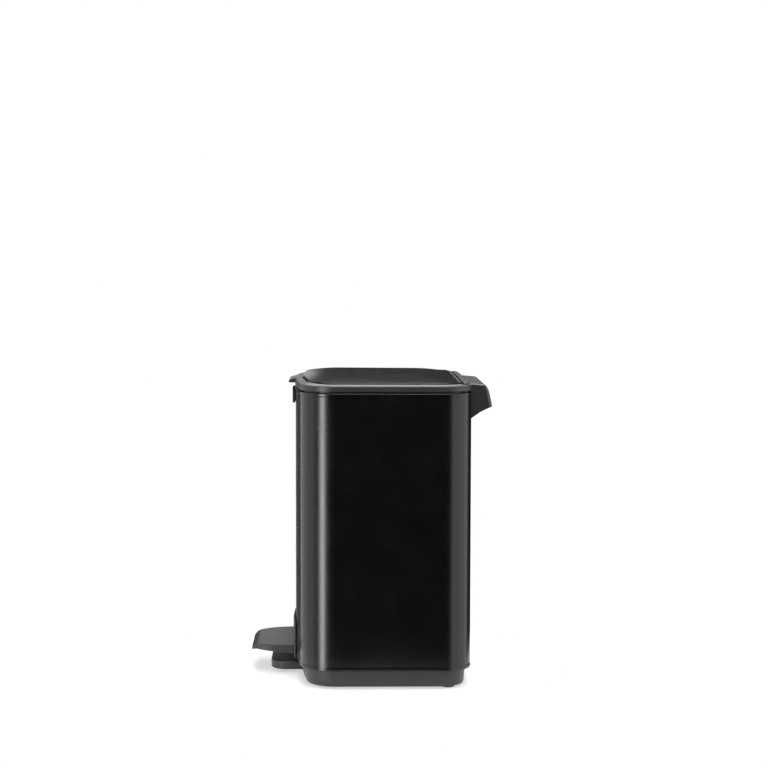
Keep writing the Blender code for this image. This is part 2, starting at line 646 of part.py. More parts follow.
def lid_ring(scale, height, inset):
    """A lid outline shrunk towards the middle, raised by the crown."""
    centre_y = (LID_FRONT + LID_REAR) / 2
    points = plan(inset, cut_at=LID_REAR - (inset - LID_INSET))
    shrunk = [(x * scale, centre_y + (y - centre_y) * scale) for x, y in points]
    return [(x, y, height + crown(x, y)) for x, y in shrunk]


def make_lid_panel():
    scales = (0.12, 0.3, 0.5, 0.68, 0.82, 0.92, 0.975)
    under = LID_EDGE - LID_SKIN
    rings = [lid_ring(s, under, LID_INSET + LID_SKIN) for s in scales]
    rings.append(lid_ring(1, under, LID_INSET + LID_SKIN))
    rings.append([(x, y, LID_EDGE - LID_FLANGE) for x, y, z in lid_ring(1, 0, LID_INSET + LID_SKIN)])
    rings.append([(x, y, LID_EDGE - LID_FLANGE) for x, y, z in lid_ring(1, 0, LID_INSET)])
    rings.append(lid_ring(1, LID_EDGE - 0.0007, LID_INSET))
    rings.append(lid_ring(0.995, LID_EDGE, LID_INSET))
    rings += [lid_ring(s, LID_EDGE, LID_INSET) for s in reversed(scales)]
    panel = loft("lid_panel", rings)
    cut(panel, rod_between("barrel_room", SWING_RADIUS, (-EAR_X - 0.0034, HINGE_Y, HINGE_Z),
                           (EAR_X + 0.0034, HINGE_Y, HINGE_Z), 32))
    tab_room = TAB_WIDTH / 2 + GAP
    cut(panel, box("tab_room", (-tab_room, LID_FRONT - 0.01, LID_EDGE - LID_FLANGE - 0.002),
                   (tab_room, LID_FRONT + 0.0020, LID_EDGE + 0.0020)))
    return ride(finish_object(panel, MATT_LACQUER), LID)


def make_lid_frame():
    """Moulded lining under the lid's skin, with the hinge barrel, crank cheeks and finger tab."""
    gap = GAP + LID_SKIN
    seat = LID_EDGE - LID_FLANGE - GAP
    levels = [(LID_UNDERSIDE, 0.0035), (LID_UNDERSIDE + 0.0014, 0.0005), (LID_UNDERSIDE + 0.0022, 0.0),
              (seat, 0.0), (seat, gap), (seat + 0.0024, gap), (seat + 0.0024, gap + 0.002),
              (LID_UNDERSIDE + 0.0022, gap + 0.0022)]
    rings = [[(x, y, z) for x, y, unused in lid_ring(1, 0, LID_INSET + inset)] for z, inset in levels]
    frame = loft("lid_frame", rings)
    cut(frame, rod_between("ear_room", SWING_RADIUS, (-EAR_X - 0.0034, HINGE_Y, HINGE_Z),
                           (-EAR_X + 0.0034, HINGE_Y, HINGE_Z), 32),
        rod_between("ear_room", SWING_RADIUS, (EAR_X - 0.0034, HINGE_Y, HINGE_Z),
                    (EAR_X + 0.0034, HINGE_Y, HINGE_Z), 32))
    barrel_half = EAR_X - 0.003 - GAP * 2
    join(frame, rod_between("barrel", BARREL_RADIUS, (-barrel_half, HINGE_Y, HINGE_Z),
                            (barrel_half, HINGE_Y, HINGE_Z), 32))
    for side in (-1, 1):
        low, high = sorted((side * CHEEK_INNER, side * (CHEEK_INNER + CHEEK_WALL)))
        cheek = arc((CRANK_PIN_Y, CRANK_PIN_Z), CHEEK_END, 150, 330, 8)
        cheek += [(HINGE_Y - 0.0005, HINGE_Z - 0.0030), (HINGE_Y - 0.0045, LID_UNDERSIDE + 0.0012),
                  (CRANK_PIN_Y - CHEEK_END, LID_UNDERSIDE + 0.0012)]
        join(frame, extrude("crank_cheek", [cheek], "x", low, high))
    cut(frame, box("link_room", (-CHEEK_INNER, HINGE_Y - 0.028, LID_UNDERSIDE - 0.001),
                   (CHEEK_INNER, HINGE_Y - 0.007, LID_UNDERSIDE + 0.0015)))
    tip = FRONT_Y - TAB_REACH
    root = LID_FRONT + 0.0012
    tab = [(tip + 0.0006, TAB_UNDERSIDE), (root + 0.003, TAB_UNDERSIDE),
           (root + 0.003, LID_UNDERSIDE + 0.008), (root, LID_EDGE + 0.0016), (root - 0.008, LID_EDGE + 0.0002),
           (tip + 0.0008, LID_EDGE - 0.0029), (tip, LID_EDGE - 0.0040)]
    tongue = extrude("finger_tab", [tab], "x", -TAB_WIDTH / 2, TAB_WIDTH / 2)
    join(frame, tongue)
    cut(frame, rod_between("barrel_bore", HINGE_PIN_RADIUS + RUNNING, (-EAR_X, HINGE_Y, HINGE_Z),
                           (-EAR_X + 0.0235, HINGE_Y, HINGE_Z), 16),
        rod_between("barrel_bore", HINGE_PIN_RADIUS + RUNNING, (EAR_X - 0.0235, HINGE_Y, HINGE_Z),
                    (EAR_X, HINGE_Y, HINGE_Z), 16),
        rod_between("crank_bore", CRANK_PIN_RADIUS + RUNNING, (-0.02, CRANK_PIN_Y, CRANK_PIN_Z),
                    (0.02, CRANK_PIN_Y, CRANK_PIN_Z), 20))
    return ride(finish_object(frame, SATIN_PLASTIC), LID)


def make_crank_pin():
    outer = CHEEK_INNER + CHEEK_WALL + GAP
    pin = rod_between("crank_pin", CRANK_PIN_RADIUS, (-outer - 0.0010, CRANK_PIN_Y, CRANK_PIN_Z),
                      (outer + 0.0010, CRANK_PIN_Y, CRANK_PIN_Z), 20)
    ride(finish_object(pin, ZINC_STEEL), LID)


def make_lid_buffers():
    top = LID_UNDERSIDE - GAP
    height = top - LEDGE_TOP - BUCKET_RIM - GAP * 3
    for name, side in (("lid_buffer_left", -1), ("lid_buffer_right", 1)):
        profile = [(0, 0), (0.003, 0), (0.003, -height + 0.0005), (0.0024, -height), (0, -height)]
        place = (side * (HALF - LID_INSET - 0.0045), FRONT_Y + 0.085, top)
        ride(finish_object(turned(name, profile, place, (0, 0, 1), 16), RUBBER), LID)


# ---- Pedal ----

def along_lever(points):
    """Turn (y, z) points about the axle by the lever's slope at rest."""
    cosine = math.cos(-LEVER_SLOPE)
    sine = math.sin(-LEVER_SLOPE)
    return [(AXLE_Y + y * cosine - z * sine, AXLE_HEIGHT + y * sine + z * cosine) for y, z in points]


def make_pedal_lever():
    """Pressed steel channel from the pedal pad over the axle to the push rod."""
    reach = math.hypot(LEVER_REACH, ROD_TRAVEL / 2)
    cheek = 0.0018
    side = [(-0.030, 0.0028), (-0.030, -0.0012), (-0.010, -0.0052), (0.012, -0.0052),
            (0.030, -0.0038), (reach - 0.004, -0.0050), (reach + 0.0042, -0.0035),
            (reach + 0.0050, 0.0015), (reach + 0.0030, 0.0044), (reach - 0.010, 0.0050),
            (0.010, 0.0062), (-0.008, 0.0062)]
    low = ROD_WIDTH / 2 + 0.0012
    lever = extrude("pedal_lever", [along_lever(side)], "x", low, low + cheek)
    join(lever, extrude("cheek", [along_lever(side)], "x", -low - cheek, -low))
    web = [(-0.0297, 0.0025), (-0.0297, 0.0010), (-0.009, 0.0043), (0.010, 0.0043),
           (reach - 0.016, 0.0030), (reach - 0.016, 0.0047), (0.010, 0.0059), (-0.0082, 0.0059)]
    join(lever, extrude("web", [along_lever(web)], "x", -low - cheek / 2, low + cheek / 2))
    plate = [(-PLATE_REACH, PLATE_LOW), (-0.016, PLATE_LOW),
             (-0.016, PLATE_HIGH), (-PLATE_REACH, PLATE_HIGH)]
    join(lever, extrude("foot_plate", [along_lever(plate)], "x", -PLATE_HALF, PLATE_HALF))
    for x in PAD_SCREW_X.values():
        cut(lever, rod_between("plate_hole", SCREW_ROOM, (x, PAD_SCREW_Y, AXLE_HEIGHT - 0.01),
                               (x, PAD_SCREW_Y, PEDAL_TOP + 0.01), 12))
    cut(lever, rod_between("lever_bore", AXLE_RADIUS + RUNNING, (-0.03, AXLE_Y, AXLE_HEIGHT),
                           (0.03, AXLE_Y, AXLE_HEIGHT)),
        rod_between("link_bore", LEVER_PIN_RADIUS + RUNNING, (-0.03, ROD_Y, LEVER_PIN_Z),
                    (0.03, ROD_Y, LEVER_PIN_Z), 20))
    ride(finish_object(lever, ZINC_STEEL), PEDAL)
    half = low + cheek + 0.0012
    pin = rod_between("lever_pin", LEVER_PIN_RADIUS, (-half, ROD_Y, LEVER_PIN_Z),
                      (half, ROD_Y, LEVER_PIN_Z), 20)
    ride(finish_object(pin, ZINC_STEEL), PEDAL)


def pad_section(y):
    """Top and underside of the pedal pad at a distance along Y."""
    tip = FRONT_Y - PEDAL_REACH
    share = (y - tip) / (PAD_REAR - tip)
    top = PEDAL_TOP - 0.0032 * (1 - share) ** 2 - 0.0040 * max(0.0, 1 - share * 7) ** 2
    thickness = 0.0048 + (PEDAL_ROOT_THICKNESS - 0.0048) * share ** 1.15
    edge = 0.0016 * max(0.0, 1 - share * 9) ** 2
    return top, top - thickness + edge


def make_pedal_pad():
    """Moulded pad: a loft of cross-sections whose width rounds off towards the tip."""
    tip = FRONT_Y - PEDAL_REACH
    half = PEDAL_WIDTH / 2
    corner = 0.034
    stations = [0.0, 0.0010, 0.0035, 0.0075, 0.013, 0.020, 0.028, 0.036, 0.046, PAD_REAR - tip]
    rings = []
    for station in stations:
        y = tip + station
        inward = max(0.0, 1 - (station + 0.0010) / corner)
        width = half - corner * 0.62 * (1 - math.sqrt(max(0.0, 1 - inward * inward)))
        top, under = pad_section(y)
        lip = 0.0014
        section = [(-width + lip, top), (-width * 0.5, top + 0.0002), (0, top + 0.0003),
                   (width * 0.5, top + 0.0002), (width - lip, top), (width, top - lip),
                   (width - 0.0004, under + lip), (width - lip, under), (0, under), (-width + lip, under),
                   (-width + 0.0004, under + lip), (-width, top - lip)]
        rings.append([(x, y, z) for x, z in section])
    pad = loft("pedal_pad", rings)
    low = ROD_WIDTH / 2 + 0.0012 + 0.0018 + GAP
    pocket = [(-0.0303, 0.0031), (-0.0303, -0.0040), (-0.010, -0.0075), (0.0, -0.0075), (0.0, 0.0075),
              (-0.009, 0.0066)]
    cut(pad, extrude("lever_pocket", [along_lever(pocket)], "x", -low, low))
    slot = [(-PLATE_REACH - GAP, PLATE_LOW - GAP), (0.004, PLATE_LOW - GAP), (0.004, PLATE_HIGH + GAP),
            (-PLATE_REACH - GAP, PLATE_HIGH + GAP)]
    cut(pad, extrude("plate_slot", [along_lever(slot)], "x", -PLATE_HALF - GAP, PLATE_HALF + GAP))
    top, under = pad_section(PAD_SCREW_Y)
    head = under - GAP * 2
    hole_top = top - 0.0026
    for x in PAD_SCREW_X.values():
        cut(pad, rod_between("pad_hole", SCREW_GRIP, (x, PAD_SCREW_Y, under - 0.01),
                             (x, PAD_SCREW_Y, hole_top), 12))
    ride(finish_object(pad, SATIN_PLASTIC), PEDAL)
    for name, x in PAD_SCREW_X.items():
        item = screw_piece(name, (x, PAD_SCREW_Y, head), (0, 0, -1), hole_top - GAP - head, 0.0014, 0.0028)
        ride(finish_object(item, ZINC_STEEL), PEDAL)


# ---- Push rod and bucket ----

def rod_eye(height, half, play, wall):
    """Outline and slot of one end of the rod, level with a pin."""
    outer = rounded_rectangle((ROD_Y - half - wall, height - play - wall),
                              (ROD_Y + half + wall, height + play + wall), play + wall - 0.0001)
    slot = rounded_rectangle((ROD_Y - half, height - play), (ROD_Y + half, height + play), play * 0.8)
    return [outer, slot]


def make_push_rod():
    """Flat rod with a slotted eye at each end."""
    half = ROD_WIDTH / 2
    upper_half = UPPER_EYE_REACH - UPPER_EYE_WALL
    upper_play = CRANK_PIN_RADIUS + LINK_PLAY
    lower_half = LEVER_PIN_RADIUS + 0.0013
    lower_play = LEVER_PIN_RADIUS + LINK_PLAY
    upper_eye = rod_eye(CRANK_PIN_Z, upper_half, upper_play, UPPER_EYE_WALL)
    lower_eye = rod_eye(LEVER_PIN_Z, lower_half, lower_play, EYE_WALL)
    rod = extrude("push_rod", upper_eye, "x", -half, half)
    join(rod, extrude("lower_eye", lower_eye, "x", -half, half))
    join(rod, box("shank", (-half + 0.0005, ROD_Y - ROD_DEPTH / 2, LEVER_PIN_Z + lower_play + EYE_WALL / 2),
                  (half - 0.0005, ROD_Y + ROD_DEPTH / 2, CRANK_PIN_Z - upper_play - EYE_WALL / 2)))
    return ride(finish_object(rod, INNER_PLASTIC), ROD)


def make_inner_bucket():
    wall = BUCKET_WALL
    rim_top = LEDGE_TOP + GAP + BUCKET_RIM
    rim = {"rear": BUCKET_REAR + 0.0035, "radius": 0.028}
    mouth = {"rear": BUCKET_REAR - 0.0005, "radius": 0.025}
    foot = {"rear": BUCKET_REAR - 0.0060, "radius": 0.024}
    side = COLLAR_LEDGE + 0.0006
    taper = COLLAR_LEDGE + 0.0065
    rings = [ring(BUCKET_FLOOR, taper + 0.005, **foot), ring(BUCKET_FLOOR + 0.0016, taper + 0.0012, **foot),
             ring(BUCKET_FLOOR + 0.0055, taper, **foot), ring(LEDGE_TOP + GAP, side, **mouth),
             ring(LEDGE_TOP + GAP, COLLAR_WIDTH + 0.0011, **rim),
             ring(rim_top - 0.0005, COLLAR_WIDTH + 0.0011, **rim), ring(rim_top, COLLAR_WIDTH + 0.0016, **rim),
             ring(rim_top, side + wall, rear=mouth["rear"] - wall, radius=0.0235),
             ring(BUCKET_FLOOR + 0.0065, taper + wall, rear=foot["rear"] - wall, radius=0.0225),
             ring(BUCKET_FLOOR + wall, taper + 0.0062, rear=foot["rear"] - wall - 0.003, radius=0.020)]
    return finish_object(loft("inner_bucket", rings), INNER_PLASTIC)


def joint_empty(name, place):
    marker = bpy.data.objects.new(name, None)
    MODEL.objects.link(marker)
    marker.location = place
    bpy.context.view_layer.update()
    return marker


def ride(item, marker):
    """Parent a moving piece to its joint's empty without moving it."""
    item.parent = marker
    item.matrix_parent_inverse = marker.matrix_world.inverted()
    return item


empty_scene()
MODEL = collection("pedal_bin")
CUTTERS = collection("cutters")
LID = joint_empty("lid_hinge", (0, HINGE_Y, HINGE_Z))
PEDAL = joint_empty("pedal_hinge", (0, AXLE_Y, AXLE_HEIGHT))
ROD = joint_empty("rod_slide", (0, ROD_Y, LEVER_PIN_Z))

make_steel_body()
make_base()
make_feet()
make_pedal_bezel()
make_front_badge()
make_collar()
make_hinge_pins()
make_rear_handle()
make_handle_screws()
make_pedal_axle()
make_rod_channel()
make_lid_panel()
make_lid_frame()
make_crank_pin()
make_lid_buffers()
make_pedal_lever()
make_pedal_pad()
make_push_rod()
make_inner_bucket()
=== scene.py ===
"""Pedal bin: fine surfaces, finishes, floor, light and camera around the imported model."""
import json
import math

import bmesh
import bpy
from mathutils import Matrix, Vector


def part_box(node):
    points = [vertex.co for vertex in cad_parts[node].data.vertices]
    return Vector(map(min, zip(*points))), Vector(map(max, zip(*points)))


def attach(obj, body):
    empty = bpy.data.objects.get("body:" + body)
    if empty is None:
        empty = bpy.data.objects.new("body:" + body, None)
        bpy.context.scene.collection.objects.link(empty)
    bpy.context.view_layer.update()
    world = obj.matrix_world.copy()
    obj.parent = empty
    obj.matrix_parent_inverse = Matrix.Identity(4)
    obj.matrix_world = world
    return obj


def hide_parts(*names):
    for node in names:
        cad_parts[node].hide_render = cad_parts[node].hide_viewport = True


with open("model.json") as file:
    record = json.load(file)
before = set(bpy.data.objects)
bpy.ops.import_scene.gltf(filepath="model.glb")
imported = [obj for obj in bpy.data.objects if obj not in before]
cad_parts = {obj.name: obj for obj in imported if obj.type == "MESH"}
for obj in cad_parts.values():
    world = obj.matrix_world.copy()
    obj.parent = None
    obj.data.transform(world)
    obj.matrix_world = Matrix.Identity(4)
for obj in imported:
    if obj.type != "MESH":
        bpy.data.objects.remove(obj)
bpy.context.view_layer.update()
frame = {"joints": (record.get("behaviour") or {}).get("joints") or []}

# ---- Sizes in metres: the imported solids' low and high corners ----
SLEEVE_LOW, SLEEVE_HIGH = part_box("steel_body")
LID_LOW, LID_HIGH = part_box("lid_panel")
LINING_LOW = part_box("lid_frame")[0]
BASE_LOW, BASE_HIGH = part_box("base")
GRIP_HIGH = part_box("rear_handle")[1]
PAD_LOW, PAD_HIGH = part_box("pedal_pad")
BEZEL_LOW, BEZEL_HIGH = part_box("pedal_bezel")
BADGE_LOW, BADGE_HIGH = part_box("front_badge")
BUCKET_LOW, BUCKET_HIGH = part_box("inner_bucket")
AXLE_LOW, AXLE_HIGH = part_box("pedal_axle")
CRANK_LOW, CRANK_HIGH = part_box("crank_pin")
ROD_LOW, ROD_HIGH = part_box("push_rod")
HINGE = [joint for joint in frame["joints"] if joint["name"] == "lid_open"][0]["pos_m"]

# Clearances between pieces, and holes.
GAP = 0.0003
RUNNING = 0.0001
SCREW_HOLE = 0.0021
PILOT_HOLE = 0.0017
PIN_BORE = 0.0016

# Sleeve: bowed front, tighter corners behind, a hem at each end.
HALF = SLEEVE_HIGH.x
FRONT_Y = SLEEVE_LOW.y
REAR_Y = SLEEVE_HIGH.y
SLEEVE_BOTTOM = SLEEVE_LOW.z
SLEEVE_TOP = SLEEVE_HIGH.z
FRONT_BOW = 0.0146
FRONT_CORNER = 0.0456
REAR_CORNER = 0.036
SLEEVE_WALL = 0.0008
HEM = 0.0005
HEM_HEIGHT = 0.003

# Collar and the ledge that the bucket hangs on.
COLLAR_BOTTOM = SLEEVE_TOP + 0.0014
COLLAR_EDGE = COLLAR_BOTTOM + 0.0068
COLLAR_CREST = COLLAR_EDGE + 0.0022
COLLAR_WIDTH = 0.0088
SKIRT_INSET = HEM * 2 + SLEEVE_WALL + GAP
LEDGE_INSET = 0.0150
LEDGE_TOP = COLLAR_BOTTOM - 0.0042
WALL = 0.0024

# Lid, its lining and its hinge.
LID_INSET = COLLAR_WIDTH + 0.0012
LID_EDGE = COLLAR_CREST + 0.0019
LID_FRONT = LID_LOW.y
LID_REAR = LID_HIGH.y
LID_FLANGE = 0.0048
LID_SKIN = 0.0008
LID_UNDERSIDE = LID_EDGE - 0.0102
CROWN_HEIGHT = 0.0092
HINGE_Y = HINGE[1]
HINGE_Z = HINGE[2]
BARREL_RADIUS = 0.0036
SWING_RADIUS = BARREL_RADIUS + 0.0004
EAR_X = HALF - 0.030
EAR_HALF = 0.003
EAR_ROOM = 0.0034
CHEEK_INNER = 0.0052
CHEEK_WALL = 0.003
TAB_HALF = 0.032
TAB_UNDERSIDE = LID_EDGE - 0.0065

# Bucket and rod.
ROD_Y = (ROD_LOW.y + ROD_HIGH.y) / 2
ROD_TRAVEL = 0.030852
BUCKET_REAR = ROD_Y - 0.0128
BUCKET_WALL = 0.0018

# Grip screws.
HANDLE_SCREW_Z = COLLAR_BOTTOM - 0.0105
HANDLE_SCREW_X = (-0.060, 0.060)

# Base, axle and pedal.
BASE_FLOOR = BASE_LOW.z + 0.0029
AXLE_Y = (AXLE_LOW.y + AXLE_HIGH.y) / 2
AXLE_HEIGHT = (AXLE_LOW.z + AXLE_HIGH.z) / 2
AXLE_RADIUS = (AXLE_HIGH.z - AXLE_LOW.z) / 2
PEDAL_TOP = AXLE_HEIGHT + 0.0105
LEVER_SLOPE = math.atan2(ROD_TRAVEL / 2, ROD_Y - AXLE_Y)
TONGUE_HALF = PAD_HIGH.x - 0.004
TONGUE_TOP = 0.0155
SADDLE_X = PAD_HIGH.x - 0.007
FEET = [(0.0245 - HALF, REAR_Y - 0.029), (HALF - 0.0245, REAR_Y - 0.029),
        (0.046 - HALF, FRONT_Y + 0.042), (HALF - 0.046, FRONT_Y + 0.042)]

# Paper under the object, just clear of the feet, and how much it glows by itself.
FLOOR_LEVEL = -0.0004
FLOOR_GLOW = 0.55

# Fine enough for the highlight on a corner to run smoothly.
QUARTER = [math.radians(angle) for angle in (0, 15, 30, 45, 60, 75, 90)]
CORNER_STEPS = 20
BOW_STEPS = 16
STRAIGHT_STEPS = 12
HOLE_SIDES = 24
BAR_SIDES = 48
SHARP_ANGLE = math.radians(38)


# ---- Shapes ----

def arc(centre, radius, start, stop, steps):
    """Points on an arc, angles in degrees, both ends included."""
    angles = [math.radians(start + (stop - start) * i / steps) for i in range(steps + 1)]
    return [(centre[0] + radius * math.cos(a), centre[1] + radius * math.sin(a)) for a in angles]


def rounded(corners, steps=5):
    """Closed outline through (u, v, radius) corners, each rounded by its own radius."""
    points = []
    for i, (u, v, radius) in enumerate(corners):
        here = Vector((u, v))
        before = Vector(corners[i - 1][:2]) - here
        after = Vector(corners[(i + 1) % len(corners)][:2]) - here
        if radius <= 0:
            points.append((u, v))
            continue
        half_angle = before.angle(after) / 2
        reach = min(radius / math.tan(half_angle), 0.49 * before.length, 0.49 * after.length)
        first = here + before.normalized() * reach
        last = here + after.normalized() * reach
        bisector = (before.normalized() + after.normalized()).normalized()
        middle = here + bisector * reach / math.cos(half_angle)
        turn = (first - middle).angle_signed(last - middle)
        for step in range(steps + 1):
            offset = first - middle
            offset.rotate(Matrix.Rotation(-turn * step / steps, 2))
            points.append(tuple(middle + offset))
    return points


def oblong(low, high, radius, steps):
    """Closed rectangular outline between two (u, v) corners, rounded by one radius."""
    corners = [(low[0], low[1]), (high[0], low[1]), (high[0], high[1]), (low[0], high[1])]
    return rounded([(u, v, radius) for u, v in corners], steps)


def doorway(half, foot, top, radius):
    """Outline of an opening with square lower and rounded upper corners."""
    return rounded([(-half, foot, 0), (half, foot, 0), (half, top, radius), (-half, top, radius)])


def plan(inset, rear=None, radius=None, cut_at=None):
    """Plan outline set in from the sleeve's outer face, as (x, y) points anticlockwise."""
    bow_radius = (HALF * HALF + FRONT_BOW * FRONT_BOW) / (2 * FRONT_BOW)
    bow_y = FRONT_Y + bow_radius
    corner_x = HALF - FRONT_CORNER
    corner_y = bow_y - math.sqrt((bow_radius - FRONT_CORNER) ** 2 - corner_x ** 2)
    tangent = math.degrees(math.atan2(corner_y - bow_y, corner_x))
    rear_y = REAR_Y - inset if rear is None else rear
    rear_radius = REAR_CORNER - inset if radius is None else radius
    rear_centre = (HALF - inset - rear_radius, rear_y - rear_radius)
    top_angle = 90
    if cut_at is not None:
        top_angle = math.degrees(math.asin((cut_at - rear_centre[1]) / rear_radius))
    rear_arc = arc(rear_centre, rear_radius, top_angle, 0, CORNER_STEPS)
    front_arc = arc((corner_x, corner_y), FRONT_CORNER - inset, 0, tangent, CORNER_STEPS)
    start_x, start_y = rear_arc[0]
    side_x, side_y = rear_arc[-1]
    run = front_arc[0][1] - side_y
    side = [(start_x * i / STRAIGHT_STEPS, start_y) for i in range(STRAIGHT_STEPS)] + rear_arc
    side += [(side_x, side_y + run * i / STRAIGHT_STEPS) for i in range(1, STRAIGHT_STEPS)]
    side += front_arc + arc((0, bow_y), bow_radius - inset, tangent, -90, BOW_STEPS)[1:]
    return list(reversed(side + [(-x, y) for x, y in reversed(side[1:-1])]))


def share_of(distance, length):
    """How much of a length a distance covers, held between 0 and 1."""
    return min(1.0, max(0.0, distance / length))


def crown(x, y):
    """Height of the lid's pillow above its straight side edges."""
    side_power = 2.2
    front_drop, front_run = 0.64, 0.045
    rear_drop, rear_run, rear_power = 0.97, 0.050, 2.4
    fall = 0.16
    across = max(0.0, 1 - abs(x / (HALF - LID_INSET)) ** side_power)
    front = 1 - front_drop * (1 - share_of(y - LID_FRONT, front_run)) ** 2
    rear = 1 - rear_drop * (1 - share_of(LID_REAR - y, rear_run)) ** rear_power
    slope = 1 - fall * share_of(y - LID_FRONT, LID_REAR - LID_FRONT)
    return CROWN_HEIGHT * across * front * rear * slope


def ring(height, inset, rise=0.0, **shape):
    """The plan outline as points at a height, lifted by a share of the lid's crown."""
    return [(x, y, height + rise * crown(x, y)) for x, y in plan(inset, **shape)]


def stack(levels, rise=0.0, **shape):
    """Rings from (height, inset) pairs."""
    return [ring(height, inset, rise, **shape) for height, inset in levels]


def new_object(name, mesh):
    """Link a mesh into the scene as an object at the origin."""
    item = bpy.data.objects.new(name, mesh)
    bpy.context.scene.collection.objects.link(item)
    return item


def loft(name, rings, closed=False, fan=False):
    """Skin a stack of rings of equal count; fan closes the end rings at their middles."""
    mesh = bpy.data.meshes.new(name)
    bm = bmesh.new()
    loops = [[bm.verts.new(point) for point in points] for points in rings]
    following = loops[1:] + loops[:1] if closed else loops[1:]
    for lower, upper in zip(loops, following):
        for i in range(len(lower)):
            bm.faces.new((lower[i - 1], lower[i], upper[i], upper[i - 1]))
    if not closed:
        for loop in (loops[0], loops[-1]):
            if fan:
                middle = bm.verts.new(sum((v.co for v in loop), Vector()) / len(loop))
                for i in range(len(loop)):
                    bm.faces.new((loop[i - 1], loop[i], middle))
            else:
                bm.faces.new(loop)
    bmesh.ops.recalc_face_normals(bm, faces=bm.faces)
    bm.to_mesh(mesh)
    bm.free()
    return new_object(name, mesh)


AXES = {"x": (1, 2, 0), "y": (0, 2, 1), "z": (0, 1, 2)}


def prism(name, outline, axis, low, high, edge=0.0, steps=3):
    """A flat outline given thickness along an axis, its two rims rounded by edge."""
    u, v, w = AXES[axis]
    stations = [(low, 0.0), (high, 0.0)]
    if edge > 0:
        bend = [math.radians(90 * i / steps) for i in range(steps + 1)]
        drops = [(edge * (1 - math.cos(a)), edge * (1 - math.sin(a))) for a in bend]
        stations = [(low + drop, inset) for drop, inset in drops]
        stations += [(high - drop, inset) for drop, inset in reversed(drops)]
    rings = []
    for station, inset in stations:
        points = []
        for p, q in shrunk(outline, inset):
            point = [0, 0, 0]
            point[u] = p
            point[v] = q
            point[w] = station
            points.append(tuple(point))
        rings.append(points)
    return loft(name, rings)


def shrunk(outline, inset):
    """Outline moved inwards by inset, point by point."""
    if inset == 0:
        return outline
    area = sum(outline[i - 1][0] * outline[i][1] - outline[i][0] * outline[i - 1][1]
               for i in range(len(outline)))
    side = 1 if area > 0 else -1
    least_cosine = 0.3
    moved = []
    for i in range(len(outline)):
        here = Vector(outline[i])
        before = (here - Vector(outline[i - 1])).normalized()
        after = (Vector(outline[(i + 1) % len(outline)]) - here).normalized()
        first = Vector((-before.y, before.x)) * side
        second = Vector((-after.y, after.x)) * side
        bisector = (first + second).normalized()
        moved.append(tuple(here + bisector * inset / max(least_cosine, bisector.dot(first))))
    return moved


def block(name, low, high, edge=0.0):
    """A box whose upright and flat edges are rounded."""
    return prism(name, oblong(low, high, edge, 3), "z", low[2], high[2], edge * 0.8)


def bar(name, radius, start, end, sides=BAR_SIDES):
    """A round bar between two points."""
    mesh = bpy.data.meshes.new(name)
    span = Vector(end) - Vector(start)
    turn = Vector((0, 0, 1)).rotation_difference(span).to_matrix().to_4x4()
    middle = Matrix.Translation((Vector(start) + Vector(end)) / 2)
    bm = bmesh.new()
    bmesh.ops.create_cone(bm, cap_ends=True, segments=sides, radius1=radius, radius2=radius,
                          depth=span.length, matrix=middle @ turn)
    bm.to_mesh(mesh)
    bm.free()
    return new_object(name, mesh)


def holes(name, radius, places, start, end, sides=HOLE_SIDES):
    """Parallel round cutters, one at each x, between two (y, z) points."""
    return [bar(name, radius, (x, *start), (x, *end), sides) for x in places]


def hinge_bar(name, radius, low, high, sides=BAR_SIDES):
    """A round bar on the lid's hinge line."""
    return bar(name, radius, (low, HINGE_Y, HINGE_Z), (high, HINGE_Y, HINGE_Z), sides)


def settle(item):
    """Turn an object's modifiers into plain mesh."""
    evaluated = item.evaluated_get(bpy.context.evaluated_depsgraph_get())
    mesh = bpy.data.meshes.new_from_object(evaluated)
    item.modifiers.clear()
    item.data = mesh
    return item


def combine(item, others, operation, solver="EXACT"):
    """Boolean an object with others, which are used up."""
    for other in others:
        modifier = item.modifiers.new("shape", "BOOLEAN")
        modifier.operation = operation
        modifier.solver = solver
        modifier.object = other
    bpy.context.view_layer.update()
    settle(item)
    for other in others:
        bpy.data.objects.remove(other)


def cut(item, *others, solver="EXACT"):
    """Take the others away from an object."""
    combine(item, others, "DIFFERENCE", solver)


def join(item, *others):
    """Add the others to an object."""
    combine(item, others, "UNION")


def place(item, material, body, *nodes, slot):
    """Finish a piece: its material, shading and body, and the CAD nodes it stands for."""
    item.data.materials.clear()
    item.data.materials.append(material)
    item.data.shade_smooth()
    item.data.set_sharp_from_angle(angle=SHARP_ANGLE)
    shading = item.modifiers.new("even_shading", "WEIGHTED_NORMAL")
    shading.keep_sharp = True
    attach(item, body)
    if nodes:
        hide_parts(*nodes)


# ---- Node helpers ----

def add(tree, kind, values=(), links=(), **settings):
    """Add a node with its settings, socket values and links; a linked node gives its output 0."""
    node = tree.nodes.new(kind)
    for name, value in settings.items():
        setattr(node, name, value)
    for socket, value in dict(values).items():
        node.inputs[socket].default_value = value
    for socket, source in dict(links).items():
        output = source.outputs[0] if isinstance(source, bpy.types.Node) else source
        tree.links.new(output, node.inputs[socket])
    return node


def linear(code):
    """An sRGB hex colour as linear RGBA."""
    channels = [int(code[i:i + 2], 16) / 255 for i in (1, 3, 5)]
    curved = [c / 12.92 if c <= 0.04045 else ((c + 0.055) / 1.055) ** 2.4 for c in channels]
    return (*curved, 1)


def per_metre(millimetres):
    """Noise scale whose features are this wide."""
    return 1000 / millimetres


def vector(tree, **parts):
    """A vector whose X, Y or Z come from sockets."""
    return add(tree, "ShaderNodeCombineXYZ", links=parts)


